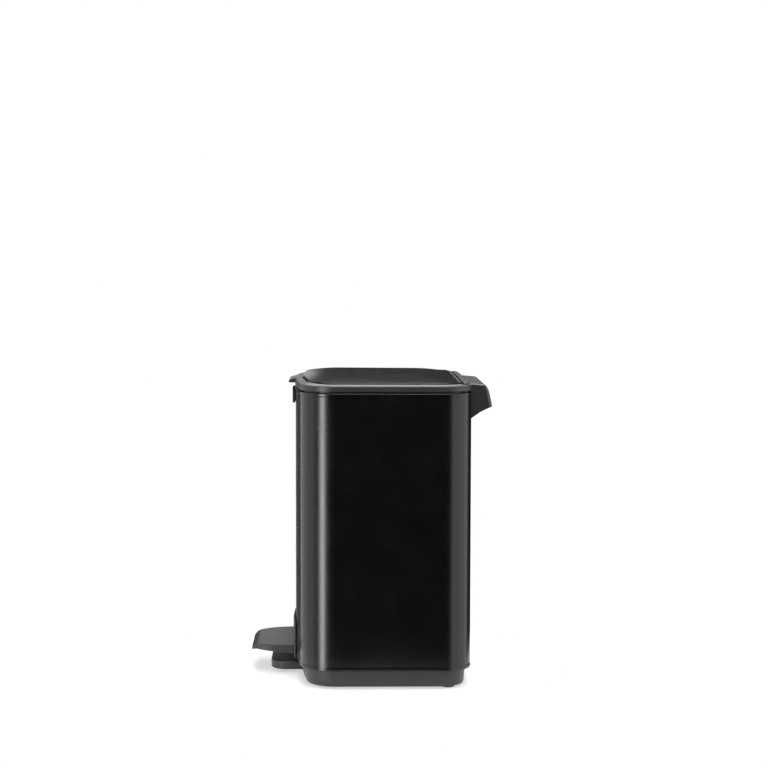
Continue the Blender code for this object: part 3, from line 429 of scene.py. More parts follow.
def geometry_tree(name, **sizes):
    """A Geometry Nodes tree with one geometry input, named sizes and one geometry output."""
    tree = bpy.data.node_groups.new(name, "GeometryNodeTree")
    tree.interface.new_socket("Geometry", in_out="INPUT", socket_type="NodeSocketGeometry")
    for label, value in sizes.items():
        kinds = {int: "NodeSocketInt", float: "NodeSocketFloat", tuple: "NodeSocketVector"}
        socket = tree.interface.new_socket(label, in_out="INPUT", socket_type=kinds[type(value)])
        socket.default_value = value
    tree.interface.new_socket("Geometry", in_out="OUTPUT", socket_type="NodeSocketGeometry")
    source = add(tree, "NodeGroupInput")
    return tree, source


def end_tree(tree, geometry, material):
    """Realise what the tree made, set its material and hand it out."""
    real = add(tree, "GeometryNodeRealizeInstances", links={"Geometry": geometry})
    painted = add(tree, "GeometryNodeSetMaterial", {"Material": material}, {"Geometry": real})
    add(tree, "NodeGroupOutput", links={"Geometry": painted})


def grow(item, tree, **sizes):
    """Run a tree on an object with its own sizes and keep the result as plain mesh."""
    modifier = item.modifiers.new(tree.name, "NODES")
    modifier.node_group = tree
    for socket in tree.interface.items_tree:
        if socket.in_out == "INPUT" and socket.name in sizes:
            modifier[socket.identifier] = sizes[socket.name]
    bpy.context.view_layer.update()
    return settle(item)


def points_object(name, points, edges=()):
    """Bare points, with edges between them if given, for a tree to grow from."""
    mesh = bpy.data.meshes.new(name)
    mesh.from_pydata(points, edges, [])
    return new_object(name, mesh)


def math_node(tree, operation, first, second=None, **settings):
    """One arithmetic step; either side is a socket or a number."""
    node = add(tree, "ShaderNodeMath", operation=operation, **settings)
    for socket, value in enumerate((first, second)):
        if isinstance(value, (int, float)):
            node.inputs[socket].default_value = value
        elif value is not None:
            tree.links.new(value, node.inputs[socket])
    return node.outputs[0]


def coordinate(tree, axis):
    """One coordinate of each point's position."""
    position = add(tree, "GeometryNodeInputPosition").outputs[0]
    return add(tree, "ShaderNodeSeparateXYZ", links={0: position}).outputs[axis]


def rim_curl(tree, near, radius):
    """How far a quarter-round rim draws in, at a distance near from its end."""
    short = math_node(tree, "MAXIMUM", math_node(tree, "SUBTRACT", radius, near), 0.0)
    chord = math_node(tree, "SUBTRACT", math_node(tree, "MULTIPLY", radius, radius),
                      math_node(tree, "MULTIPLY", short, short))
    return math_node(tree, "SUBTRACT", radius, math_node(tree, "SQRT", chord))


# ---- Finishes ----

def surface(name):
    """A new material: itself, its node tree, its Principled shader and its Object coordinates."""
    material = bpy.data.materials.new(name)
    material.use_nodes = True
    tree = material.node_tree
    shader = tree.nodes["Principled BSDF"]
    where = add(tree, "ShaderNodeTexCoord").outputs["Object"]
    return material, tree, shader, where


def mottle(tree, shader, where, colours, roughness, wide):
    """Slow variation of colour and roughness over a surface; wide is its width in millimetres."""
    cloud = add(tree, "ShaderNodeTexNoise",
                {"Scale": per_metre(wide), "Detail": 4.0, "Roughness": 0.6}, {"Vector": where})
    ramp = add(tree, "ShaderNodeValToRGB", links={"Fac": cloud.outputs["Fac"]})
    for element, position, colour in zip(ramp.color_ramp.elements, (0.35, 0.68), colours):
        element.position = position
        element.color = linear(colour)
    tree.links.new(ramp.outputs["Color"], shader.inputs["Base Color"])
    rough = add(tree, "ShaderNodeMapRange",
                {"From Min": 0.3, "From Max": 0.7, "To Min": roughness[0], "To Max": roughness[1]},
                {"Value": cloud.outputs["Fac"]})
    tree.links.new(rough.outputs["Result"], shader.inputs["Roughness"])


def grain(tree, where, millimetres, detail):
    """Noise with features this wide, for a relief."""
    noise = add(tree, "ShaderNodeTexNoise", {"Scale": per_metre(millimetres), "Detail": detail},
                {"Vector": where})
    return noise.outputs["Fac"]


def stretched(tree, where, scale):
    """Coordinates scaled by axis, so that a pattern runs along the axis scaled least."""
    return add(tree, "ShaderNodeMapping", {"Scale": scale}, {"Vector": where}).outputs["Vector"]


def relief(tree, shader, height, depth):
    """Bump of a real depth in millimetres."""
    bump = add(tree, "ShaderNodeBump", {"Strength": 1.0, "Distance": depth / 1000},
               {"Height": height})
    tree.links.new(bump.outputs["Normal"], shader.inputs["Normal"])


def powder_coat_black_semi_gloss():
    """Powder-coated sheet steel: near black, a soft gloss and the powder's faint orange peel."""
    material, tree, shader, where = surface("powder_coat_black_semi_gloss")
    mottle(tree, shader, where, ("#040405", "#060607"), (0.24, 0.28), 38)
    relief(tree, shader, grain(tree, where, 1.9, 2.0), 0.0012)
    return material


def powder_coat_black_satin():
    """Powder-coated lid skin: a finer, flatter coat than the sleeve's, with dust-fine grain."""
    material, tree, shader, where = surface("powder_coat_black_satin")
    shader.inputs["Specular IOR Level"].default_value = 0.20
    mottle(tree, shader, where, ("#0f0f10", "#121213"), (0.22, 0.26), 30)
    relief(tree, shader, grain(tree, where, 0.7, 3.0), 0.0016)
    return material


def abs_moulded_spark_texture():
    """Injection-moulded ABS: dark grey, with the fine matt pits of a spark-eroded mould."""
    material, tree, shader, where = surface("abs_moulded_spark_texture")
    mottle(tree, shader, where, ("#262627", "#2a2a2b"), (0.38, 0.45), 26)
    pits = add(tree, "ShaderNodeTexVoronoi", {"Scale": per_metre(0.55), "Randomness": 1.0},
               {"Vector": where})
    relief(tree, shader, pits.outputs["Distance"], 0.0075)
    return material


def polypropylene_moulded():
    """Moulded polypropylene of the bucket, rod and channel: mid grey, waxy, faint flow lines."""
    material, tree, shader, where = surface("polypropylene_moulded")
    flow = stretched(tree, where, (1.0, 1.0, 0.12))
    mottle(tree, shader, flow, ("#47484a", "#505153"), (0.36, 0.46), 9)
    relief(tree, shader, grain(tree, where, 0.9, 3.0), 0.0060)
    return material


def steel_zinc_plated():
    """Zinc-plated steel: cool grey metal, cloudy from the bath, with fine drawing lines."""
    material, tree, shader, where = surface("steel_zinc_plated")
    shader.inputs["Metallic"].default_value = 1.0
    mottle(tree, shader, where, ("#b4b7bb", "#c9ccd0"), (0.26, 0.42), 4)
    lines = grain(tree, stretched(tree, where, (0.04, 1.0, 1.0)), 0.25, 2.0)
    relief(tree, shader, lines, 0.0020)
    return material


def rubber_moulded():
    """Black moulded rubber with a dry, pitted skin."""
    material, tree, shader, where = surface("rubber_moulded")
    mottle(tree, shader, where, ("#161616", "#1f1f1f"), (0.72, 0.86), 3)
    relief(tree, shader, grain(tree, where, 0.5, 4.0), 0.02)
    return material


def paper_sweep():
    """White paper under the object, lit evenly so that only the contact shadow shows."""
    material, tree, shader, where = surface("paper_sweep")
    mottle(tree, shader, where, ("#b9b9b9", "#bebebe"), (0.85, 0.95), 60)
    shader.inputs["Emission Color"].default_value = linear("#ffffff")
    shader.inputs["Emission Strength"].default_value = FLOOR_GLOW
    return material


COAT = powder_coat_black_semi_gloss()
SATIN_COAT = powder_coat_black_satin()
ABS = abs_moulded_spark_texture()
POLYPROPYLENE = polypropylene_moulded()
ZINC = steel_zinc_plated()
RUBBER = rubber_moulded()


# ---- Fixed pieces ----

def rolled_wall_tree():
    """Sheet wall round an outline, with a raised hem along each end that curls in at its lip."""
    hem_points, run_points = 44, 12
    margin, fade = 0.0030, 0.0025
    tree, source = geometry_tree("rolled_wall", Bottom=0.0, Top=0.1, Hem_Height=0.003,
                                 Hem_Depth=0.0005, Lip=0.0009)
    out = source.outputs
    band = math_node(tree, "ADD", out["Hem_Height"], margin)
    lower = math_node(tree, "ADD", out["Bottom"], band)
    upper = math_node(tree, "SUBTRACT", out["Top"], band)
    runs = add(tree, "GeometryNodeJoinGeometry")
    for count, first, last in ((hem_points, out["Bottom"], lower), (run_points, lower, upper),
                               (hem_points, upper, out["Top"])):
        ends = {"Start Location": vector(tree, Y=first), "Offset": vector(tree, Y=last)}
        run = add(tree, "GeometryNodeMeshLine", {"Count": count}, ends, mode="END_POINTS")
        tree.links.new(run.outputs[0], runs.inputs[0])
    line = add(tree, "GeometryNodeMergeByDistance", {"Distance": 0.00001}, {"Geometry": runs})
    height = coordinate(tree, "Y")
    near = math_node(tree, "MINIMUM", math_node(tree, "SUBTRACT", height, out["Bottom"]),
                     math_node(tree, "SUBTRACT", out["Top"], height))
    raised = add(tree, "ShaderNodeMapRange", {"To Max": 0.0},
                 {"Value": near, "From Min": out["Hem_Height"], "To Min": out["Hem_Depth"],
                  "From Max": math_node(tree, "ADD", out["Hem_Height"], fade)},
                 interpolation_type="SMOOTHSTEP")
    push = math_node(tree, "SUBTRACT", raised.outputs["Result"], rim_curl(tree, near, out["Lip"]))
    # A section swept along a path comes out upside down, so its heights change sign here.
    flip = math_node(tree, "MULTIPLY", height, -2.0)
    bent = add(tree, "GeometryNodeSetPosition",
               links={"Geometry": line, "Offset": vector(tree, X=push, Y=flip)})
    section = add(tree, "GeometryNodeMeshToCurve", links={"Mesh": bent})
    path = add(tree, "GeometryNodeMeshToCurve", links={"Mesh": out["Geometry"]})
    level = add(tree, "GeometryNodeSetCurveNormal", links={"Curve": path}, mode="Z_UP")
    wall = add(tree, "GeometryNodeCurveToMesh", links={"Curve": level, "Profile Curve": section})
    end_tree(tree, wall, COAT)
    return tree


def outward(item):
    """Turn a closed-round wall's faces away from the middle."""
    mesh = item.data
    face = max(mesh.polygons, key=lambda f: f.area)
    if face.normal.dot(Vector((face.center.x, face.center.y, 0))) < 0:
        mesh.flip_normals()


def make_sleeve():
    """Sheet-steel sleeve with its hems, the pedal's opening and the grip's screw holes."""
    points = [(x, y, 0) for x, y in plan(HEM)]
    edges = [(i, (i + 1) % len(points)) for i in range(len(points))]
    sleeve = grow(points_object("sleeve", points, edges), rolled_wall_tree(), Bottom=SLEEVE_BOTTOM,
                  Top=SLEEVE_TOP, Hem_Height=HEM_HEIGHT, Hem_Depth=HEM)
    outward(sleeve)
    sheet = sleeve.modifiers.new("sheet", "SOLIDIFY")
    sheet.thickness = SLEEVE_WALL
    sheet.offset = -1
    settle(sleeve)
    outline = doorway(BEZEL_HIGH.x - 0.003, 0, BEZEL_HIGH.z - 0.018, 0.004)
    opening = prism("pedal_opening", outline, "y", FRONT_Y - 0.02, FRONT_Y + 0.03)
    screws = holes("screw_hole", SCREW_HOLE, HANDLE_SCREW_X, (REAR_Y - 0.01, HANDLE_SCREW_Z),
                   (REAR_Y + 0.01, HANDLE_SCREW_Z))
    cut(sleeve, opening, *screws, solver="MANIFOLD")
    place(sleeve, COAT, "can", "steel_body", slot="black_lacquer")


def make_collar():
    """Moulded ring on the sleeve, with the lid's recess, the bucket's ledge and the hinge seats."""
    ledge = {"rear": BUCKET_REAR + 0.001, "radius": 0.026}
    under = LEDGE_TOP - 0.0026
    skirt_end = under - 0.009
    skirt_inner = SKIRT_INSET + WALL
    lower = COLLAR_BOTTOM + 0.0008
    groove = 0.0060
    groove_floor = COLLAR_BOTTOM - 0.0034
    soft = 0.0006
    rings = [ring(lower + soft / 2 * (1 - math.cos(a)), soft / 2 * (1 - math.sin(a)))
             for a in QUARTER]
    rings += [ring(COLLAR_EDGE + soft * (math.sin(a) - 0.5), soft * 1.2 * (1 - math.cos(a)), 1)
              for a in QUARTER]
    # The shallow slope up to the crest.
    rings += [ring(COLLAR_EDGE + 0.0007 + 0.0010 * t, 0.0010 + 0.0048 * t, 1)
              for t in (0.0, 0.33, 0.66, 1.0)]
    # The crest, rolling over into the lid's recess.
    rings += stack([(COLLAR_CREST - 0.00022, 0.0070), (COLLAR_CREST - 0.00002, 0.0080),
                    (COLLAR_CREST - 0.00010, 0.0085), (COLLAR_CREST - 0.0005, COLLAR_WIDTH)], 1)
    rings += stack([(LEDGE_TOP + 0.0003, COLLAR_WIDTH), (LEDGE_TOP, COLLAR_WIDTH + 0.0003)])
    rings += stack([(LEDGE_TOP, LEDGE_INSET), (under, LEDGE_INSET)], **ledge)
    # The skirt inside the sleeve and the shadow groove above the sleeve's edge.
    rings += stack([(under, skirt_inner), (skirt_end, skirt_inner), (skirt_end, SKIRT_INSET),
                    (groove_floor, SKIRT_INSET), (groove_floor, groove), (lower, groove)])
    collar = loft("collar_ring", rings, closed=True)
    deck_front = HINGE_Y + BARREL_RADIUS + 0.0007
    deck = [(x, y) for x, y in plan(0.0035) if y > deck_front and abs(x) < EAR_X + 0.02]
    join(collar, prism("hinge_deck", deck, "z", LEDGE_TOP - 0.001, COLLAR_CREST + 0.0007, 0.0006))
    ear_back = HINGE_Y + 0.009
    ear_foot = LEDGE_TOP - 0.0005
    ear = arc((HINGE_Y, HINGE_Z), BARREL_RADIUS, 260, 45, 24)
    ear += [(ear_back, HINGE_Z + 0.001), (ear_back, ear_foot), (HINGE_Y - 0.0005, ear_foot)]
    for x in (-EAR_X, EAR_X):
        join(collar, prism("hinge_ear", ear, "x", x - EAR_HALF, x + EAR_HALF))
    slot_half = 0.0130
    cut(collar, block("crank_slot", (-slot_half, ROD_Y - 0.0089, under - 0.02),
                      (slot_half, HINGE_Y - 0.0032, LEDGE_TOP + 0.004)))
    notch = TAB_HALF + 0.001
    cut(collar, block("tab_notch", (-notch, FRONT_Y - 0.01, TAB_UNDERSIDE - 0.0005),
                      (notch, FRONT_Y + 0.0145, LID_EDGE + 0.02)))
    swing = HALF - LID_INSET - 0.0085
    swing_room = SWING_RADIUS + 0.0003
    cut(collar, hinge_bar("lid_swing", swing_room, -swing, -EAR_X - EAR_ROOM),
        hinge_bar("lid_swing", swing_room, EAR_X + EAR_ROOM, swing),
        hinge_bar("barrel_swing", SWING_RADIUS + 0.0002, -EAR_X + EAR_ROOM, EAR_X - EAR_ROOM),
        hinge_bar("pin_bore", PIN_BORE, -EAR_X - 0.006, EAR_X + 0.006, HOLE_SIDES),
        solver="MANIFOLD")
    cut(collar, *holes("skirt_hole", SCREW_HOLE, HANDLE_SCREW_X, (REAR_Y - 0.02, HANDLE_SCREW_Z),
                       (REAR_Y + 0.01, HANDLE_SCREW_Z)))
    place(collar, ABS, "can", "collar", slot="satin_plastic")


def front_patch(name, low, high, radius, out, edge):
    """A plate that follows the bowed front, cut to a rounded outline, its outer rim eased."""
    bottom, top = low[1] - 0.002, high[1] + 0.002
    rings = stack([(bottom, -out), (top, -out), (top, -GAP), (bottom, -GAP)])
    skin = loft(name, rings, closed=True)
    outline = oblong(low, high, radius, 8)
    combine(skin, [prism("outline", outline, "y", FRONT_Y - 0.03, FRONT_Y + 0.03)], "INTERSECT")
    ease = skin.modifiers.new("eased_rim", "BEVEL")
    ease.width = edge
    ease.segments = 3
    ease.angle_limit = math.radians(50)
    return settle(skin)


def make_slot_surround():
    """Moulded surround of the pedal's slot, open at its foot."""
    half = BEZEL_HIGH.x
    bezel = front_patch("slot_surround", (-half, BEZEL_LOW.z), (half, BEZEL_HIGH.z), 0.007, 0.0025,
                        0.0008)
    outline = doorway(half - 0.0045, BEZEL_LOW.z - 0.01, PEDAL_TOP + 0.006, 0.003)
    cut(bezel, prism("pedal_slot", outline, "y", FRONT_Y - 0.03, FRONT_Y + 0.03))
    place(bezel, ABS, "can", "pedal_bezel", slot="satin_plastic")


def make_front_plate():
    """Plain raised plate at the top of the front."""
    plate = front_patch("front_plate", (BADGE_LOW.x, BADGE_LOW.z), (BADGE_HIGH.x, BADGE_HIGH.z),
                        0.003, 0.0035, 0.0009)
    place(plate, ABS, "can", "front_badge", slot="satin_plastic")


def make_grip():
    """Hollow grip behind the collar, open underneath for the fingers."""
    half = GRIP_HIGH.x
    front = REAR_Y + GAP
    back = GRIP_HIGH.y
    top = GRIP_HIGH.z
    outline = rounded([(front, top, 0.0003), (REAR_Y + 0.0195, top - 0.0016, 0.006),
                       (back - 0.0050, top - 0.0074, 0.004), (back - 0.0034, top - 0.0130, 0.003),
                       (back, top - 0.0290, 0.0018), (REAR_Y + 0.0130, top - 0.0362, 0.004),
                       (front, top - 0.0450, 0.0006)], 8)
    height = top - 0.0225
    # Each end draws in over a chamfer: place along X, and share of the full draw there.
    ends = [(-half, 1.0), (-half + 0.0002, 0.97), (-half + 0.0006, 0.90), (-half + 0.0036, 0.12),
            (-half + 0.0040, 0.04), (-half + 0.0045, 0.0)]
    stations = ends + [(-x, share) for x, share in reversed(ends)]
    shorter, flatter = 0.14, 0.04
    rings = [[(x, front + (y - front) * (1 - shorter * share),
               height + (z - height) * (1 - flatter * share)) for y, z in outline]
             for x, share in stations]
    grip = loft("grip", rings)
    wall = 0.003
    hollow_foot = top - 0.06
    hollow = [(front + wall, top - wall), (REAR_Y + 0.018, top - wall - 0.0026),
              (back - 0.0045 - wall, top - 0.0105), (back - wall, top - 0.0285),
              (back - wall - 0.0010, hollow_foot), (front + wall, hollow_foot)]
    cut(grip, prism("grip_hollow", hollow, "x", -half + wall, half - wall))
    mouth = half - wall - 0.0004
    cut(grip, block("grip_mouth", (-mouth, front - 0.002, top - 0.061),
                    (mouth, front + wall + 0.001, HANDLE_SCREW_Z - 0.007)))
    for x in HANDLE_SCREW_X:
        join(grip, *holes("screw_boss", 0.0045, [x], (front + 0.0005, HANDLE_SCREW_Z),
                          (front + 0.008, HANDLE_SCREW_Z), BAR_SIDES))
        cut(grip, *holes("boss_hole", PILOT_HOLE, [x], (front - 0.002, HANDLE_SCREW_Z),
                         (front + 0.0072, HANDLE_SCREW_Z)))
    place(grip, ABS, "can", "rear_handle", slot="satin_plastic")


def make_base_tray():
    """Moulded tray: rounded outside, upstand inside the sleeve, tongue under the pedal, saddles."""
    low = BASE_LOW.z
    inner = HEM * 2 + SLEEVE_WALL + 0.0004
    upstand = BASE_HIGH.z
    shoulder, flank = 0.0070, 0.0076
    outside = [(low, 0.0180), (low, 0.0116), (low + 0.0001, 0.0106), (low + 0.0005, 0.0097),
               (low + 0.0012, 0.0090), (low + 0.0024, 0.0085), (low + 0.0045, 0.0081),
               (low + 0.0070, 0.0078), (low + 0.0100, flank), (SLEEVE_BOTTOM + 0.0008, shoulder),
               (SLEEVE_BOTTOM + 0.0011, 0.0068), (SLEEVE_BOTTOM + 0.0022, inner), (upstand, inner)]
    inside = [(upstand, inner + WALL), (SLEEVE_BOTTOM + 0.0040, inner + WALL),
              (SLEEVE_BOTTOM + 0.0012, shoulder + WALL), (low + 0.0110, flank + WALL),
              (BASE_FLOOR + 0.002, 0.0128), (BASE_FLOOR, 0.0165)]
    tray = loft("base_tray", stack(outside + inside))
    half = TONGUE_HALF
    tip = BASE_LOW.y
    root = FRONT_Y + 0.02
    outline = rounded([(half, root, 0), (half, tip, 0.02), (-half, tip, 0.02), (-half, root, 0)],
                      14)
    join(tray, prism("tongue", outline, "z", low + 0.0017, TONGUE_TOP, 0.0022, 5))
    saddle_top = AXLE_HEIGHT + AXLE_RADIUS + 0.004
    for x in (-SADDLE_X, SADDLE_X):
        join(tray, block("saddle", (x - 0.004, AXLE_Y - 0.009, BASE_FLOOR - 0.001),
                         (x + 0.004, AXLE_Y + 0.009, saddle_top), 0.0005))
    cut(tray, block("base_mouth", (BEZEL_LOW.x + 0.0025, FRONT_Y - 0.004, BEZEL_LOW.z),
                    (BEZEL_HIGH.x - 0.0025, FRONT_Y + 0.016, upstand + 0.005)))
    cut(tray, bar("axle_bore", AXLE_RADIUS + RUNNING, (-SADDLE_X - 0.01, AXLE_Y, AXLE_HEIGHT),
                  (SADDLE_X + 0.01, AXLE_Y, AXLE_HEIGHT)))
    pocket = 0.0093
    cut(tray, *(bar("foot_pocket", pocket, (x, y, -0.001), (x, y, low + 0.0015)) for x, y in FEET))
    screw_y = REAR_Y - 0.0238
    cut(tray, *holes("screw_hole", PILOT_HOLE, (-0.020, 0.020), (screw_y, low + 0.0008),
                     (screw_y, BASE_FLOOR + 0.01)))
    place(tray, ABS, "can", "base", slot="satin_plastic")


def make_liner_bucket():
    """Lift-out bucket: tapered, with a flat rim that rests on the collar's ledge."""
    floor = BUCKET_LOW.z
    rim_top = BUCKET_HIGH.z
    rim = {"rear": BUCKET_REAR + 0.0035, "radius": 0.028}
    mouth = {"rear": BUCKET_REAR - 0.0005, "radius": 0.025}
    foot = {"rear": BUCKET_REAR - 0.0060, "radius": 0.024}
    side = LEDGE_INSET + 0.0006
    taper = LEDGE_INSET + 0.0065
    seat = LEDGE_TOP + GAP
    rim_inset = COLLAR_WIDTH + 0.0011
    rings = stack([(floor, taper + 0.005), (floor + 0.0004, taper + 0.0028),
                   (floor + 0.0016, taper + 0.0012), (floor + 0.0033, taper + 0.0003),
                   (floor + 0.0055, taper)], **foot)
    rings += stack([(seat, side)], **mouth)
    rings += stack([(seat, rim_inset), (rim_top - 0.0005, rim_inset),
                    (rim_top - 0.0001, COLLAR_WIDTH + 0.0012), (rim_top, COLLAR_WIDTH + 0.0016)],
                   **rim)
    # Down the inside: height, inset, and the rear wall's place and corner radius.
    inside_mouth = mouth["rear"] - BUCKET_WALL
    inside_foot = foot["rear"] - BUCKET_WALL
    rings += [ring(height, inset, rear=rear, radius=radius) for height, inset, rear, radius in (
        (rim_top, side + BUCKET_WALL - 0.0004, inside_mouth + 0.0004, 0.0237),
        (rim_top - 0.0005, side + BUCKET_WALL, inside_mouth, 0.0235),
        (floor + 0.0065, taper + BUCKET_WALL, inside_foot, 0.0225),
        (floor + 0.0030, taper + 0.0036, inside_foot - 0.001, 0.0215),
        (floor + BUCKET_WALL, taper + 0.0062, inside_foot - 0.003, 0.020))]
    bucket = loft("liner_bucket", rings)
    place(bucket, POLYPROPYLENE, "can", "inner_bucket", slot="bucket_plastic")


# ---- Lid ----

def lid_ring(scale, height, inset, rise=1.0):
    """A lid outline shrunk towards the middle, raised by the crown."""
    centre_y = (LID_FRONT + LID_REAR) / 2
    points = plan(inset, cut_at=LID_REAR - (inset - LID_INSET))
    pulled = [(x * scale, centre_y + (y - centre_y) * scale) for x, y in points]
    return [(x, y, height + rise * crown(x, y)) for x, y in pulled]


def make_lid_skin():
    """Pressed lid: crowned top, rolled edge and a short flange turned down."""
    scales = (0.06, 0.12, 0.2, 0.3, 0.4, 0.5, 0.6, 0.68, 0.76, 0.82, 0.87, 0.92, 0.955, 0.978)
    roll = 0.0012
    rolled = ((1.1, 0.0), (0.9, 0.06), (0.1, 0.86), (0.0, 1.0))
    under = LID_EDGE - LID_SKIN
    inner = LID_INSET + LID_SKIN
    flange = LID_EDGE - LID_FLANGE
    rings = [lid_ring(s, under, inner) for s in scales] + [lid_ring(1, under, inner)]
    rings += [lid_ring(1, flange, inner, 0), lid_ring(1, flange, LID_INSET, 0)]
    rings += [lid_ring(1, LID_EDGE - roll * drop, LID_INSET + roll * inset)
              for drop, inset in rolled]
    rings += [lid_ring(s, LID_EDGE, LID_INSET) for s in reversed(scales)]
    skin = loft("lid_skin", rings, fan=True)
    cut(skin, hinge_bar("barrel_room", SWING_RADIUS, -EAR_X - EAR_ROOM, EAR_X + EAR_ROOM))
    tab_room = TAB_HALF + GAP
    cut(skin, block("tab_room", (-tab_room, LID_FRONT - 0.01, flange - 0.002),
                    (tab_room, LID_FRONT + 0.0020, LID_EDGE + 0.0020)))
    place(skin, SATIN_COAT, "lid", "lid_panel", slot="matt_lacquer")


def make_lid_lining():
    """Moulded lining under the skin, with the hinge barrel, crank cheeks and finger tab."""
    gap = GAP + LID_SKIN
    seat = LID_EDGE - LID_FLANGE - GAP
    lip = LID_UNDERSIDE + 0.0022
    groove = seat + 0.0024
    levels = [(LID_UNDERSIDE, 0.0035), (LID_UNDERSIDE + 0.0004, 0.0020),
              (LID_UNDERSIDE + 0.0010, 0.0010), (LID_UNDERSIDE + 0.0014, 0.0005), (lip, 0.0),
              (seat - 0.0003, 0.0), (seat, 0.0003), (seat, gap), (groove, gap),
              (groove, gap + 0.002), (lip, gap + 0.0022)]
    lining = loft("lid_lining", [lid_ring(1, z, LID_INSET + inset, 0) for z, inset in levels])
    cut(lining, hinge_bar("ear_room", SWING_RADIUS, -EAR_X - EAR_ROOM, -EAR_X + EAR_ROOM),
        hinge_bar("ear_room", SWING_RADIUS, EAR_X - EAR_ROOM, EAR_X + EAR_ROOM))
    barrel_half = EAR_X - 0.003 - GAP * 2
    join(lining, hinge_bar("barrel", BARREL_RADIUS, -barrel_half, barrel_half))
    crank_y = (CRANK_LOW.y + CRANK_HIGH.y) / 2
    crank_z = (CRANK_LOW.z + CRANK_HIGH.z) / 2
    for side in (-1, 1):
        low, high = sorted((side * CHEEK_INNER, side * (CHEEK_INNER + CHEEK_WALL)))
        cheek = arc((crank_y, crank_z), 0.005, 150, 330, 16)
        cheek += [(HINGE_Y - 0.0005, HINGE_Z - 0.0030), (HINGE_Y - 0.0045, LID_UNDERSIDE + 0.0012),
                  (crank_y - 0.005, LID_UNDERSIDE + 0.0012)]
        join(lining, prism("crank_cheek", cheek, "x", low, high))
    cut(lining, block("link_room", (-CHEEK_INNER, HINGE_Y - 0.028, LID_UNDERSIDE - 0.001),
                      (CHEEK_INNER, HINGE_Y - 0.007, LID_UNDERSIDE + 0.0015)))
    tip = LINING_LOW.y
    root = LID_FRONT + 0.0012
    buried = root + 0.003
    tab = rounded([(tip + 0.0006, TAB_UNDERSIDE, 0.0006), (buried, TAB_UNDERSIDE, 0),
                   (buried, LID_UNDERSIDE + 0.008, 0), (root, LID_EDGE + 0.0016, 0.0006),
                   (root - 0.008, LID_EDGE + 0.0002, 0.006),
                   (tip + 0.0006, LID_EDGE - 0.0029, 0.0016), (tip, LID_EDGE - 0.0040, 0.0008)], 6)
    join(lining, prism("finger_tab", tab, "x", -TAB_HALF, TAB_HALF, 0.0006))
    bore = 0.0235
    cut(lining, hinge_bar("barrel_bore", PIN_BORE, -EAR_X, -EAR_X + bore, HOLE_SIDES),
        hinge_bar("barrel_bore", PIN_BORE, EAR_X - bore, EAR_X, HOLE_SIDES),
        bar("crank_bore", 0.0021, (-0.02, crank_y, crank_z), (0.02, crank_y, crank_z), 32))
    place(lining, ABS, "lid", "lid_frame", slot="satin_plastic")


# ---- Pedal ----

def along_lever(points):
    """Turn (y, z) points about the axle by the lever's slope at rest."""
    cosine = math.cos(LEVER_SLOPE)
    sine = math.sin(LEVER_SLOPE)
    return [(AXLE_Y + y * cosine + z * sine, AXLE_HEIGHT - y * sine + z * cosine)
            for y, z in points]


def pad_section(y):
    """Top and underside of the pedal pad at a distance along Y."""
    slope, nose = 0.0032, 0.0040
    tip_thickness, swell = 0.0032, 0.0100
    tip = PAD_LOW.y
    share = (y - tip) / (PAD_HIGH.y - tip)
    top = PEDAL_TOP - slope * (1 - share) ** 2 - nose * max(0.0, 1 - share * 7) ** 2
    thickness = tip_thickness + swell * share ** 0.62
    return top, top - thickness


def make_pedal_tread():
    """Moulded pad: cross-sections whose width rounds off towards the tip."""
    tip = PAD_LOW.y
    half = PAD_HIGH.x
    corner = 0.034
    corner_draw = corner * 0.62
    length = PAD_HIGH.y - tip
    sections = 44
    lip = 0.0013
    draft = 0.0004
    dish = 0.0003
    rolled = ((1.1, 0.0), (0.9, 0.08), (0.08, 0.9), (0.0, 1.1))
    rings = []
    for i in range(sections + 1):
        # Sections crowd together towards the tip, where the width changes fastest.
        station = length * (i / sections) ** 1.7
        inward = max(0.0, 1 - (station + 0.0010) / corner)
        width = half - corner_draw * (1 - math.sqrt(max(0.0, 1 - inward * inward)))
        top, under = pad_section(tip + station)
        right = [(width * k, top + dish * (1 - k)) for k in (0.25, 0.5, 0.75, 0.9)]
        right += [(width - lip * u, top - lip * v) for u, v in rolled]
        right += [(width - draft - (lip - draft) * (1 - math.cos(a)),
                   under + lip * (1 - math.sin(a))) for a in QUARTER]
        right += [(width * 0.5, under)]
        section = [(0, top + dish)] + right + [(0, under)] + [(-x, z) for x, z in reversed(right)]
        rings.append([(x, tip + station, z) for x, z in section])
    tread = loft("pedal_tread", rings)
    lever_half = 0.0052 + 0.0018 + GAP
    pocket = [(-0.0303, 0.0031), (-0.0303, -0.0040), (-0.010, -0.0075), (0.0, -0.0075),
              (0.0, 0.0075), (-0.009, 0.0066)]
    cut(tread, prism("lever_pocket", along_lever(pocket), "x", -lever_half, lever_half))
    slot = [(-0.0463, 0.0009), (0.004, 0.0009), (0.004, 0.0031), (-0.0463, 0.0031)]
    plate_half = half - 0.0137
    cut(tread, prism("plate_slot", along_lever(slot), "x", -plate_half, plate_half))
    y = FRONT_Y - 0.014
    top, under = pad_section(y)
    screw_x = (0.024 - half, half - 0.024)
    below = (y, under - 0.01)
    cut(tread, *holes("pad_hole", PILOT_HOLE, screw_x, below, (y, top - 0.0026)))
    cut(tread, *holes("head_room", 0.0033, screw_x, below, (y, top - 0.0097), 32))
    place(tread, ABS, "pedal", "pedal_pad", slot="satin_plastic")


# ---- Repeated pieces ----

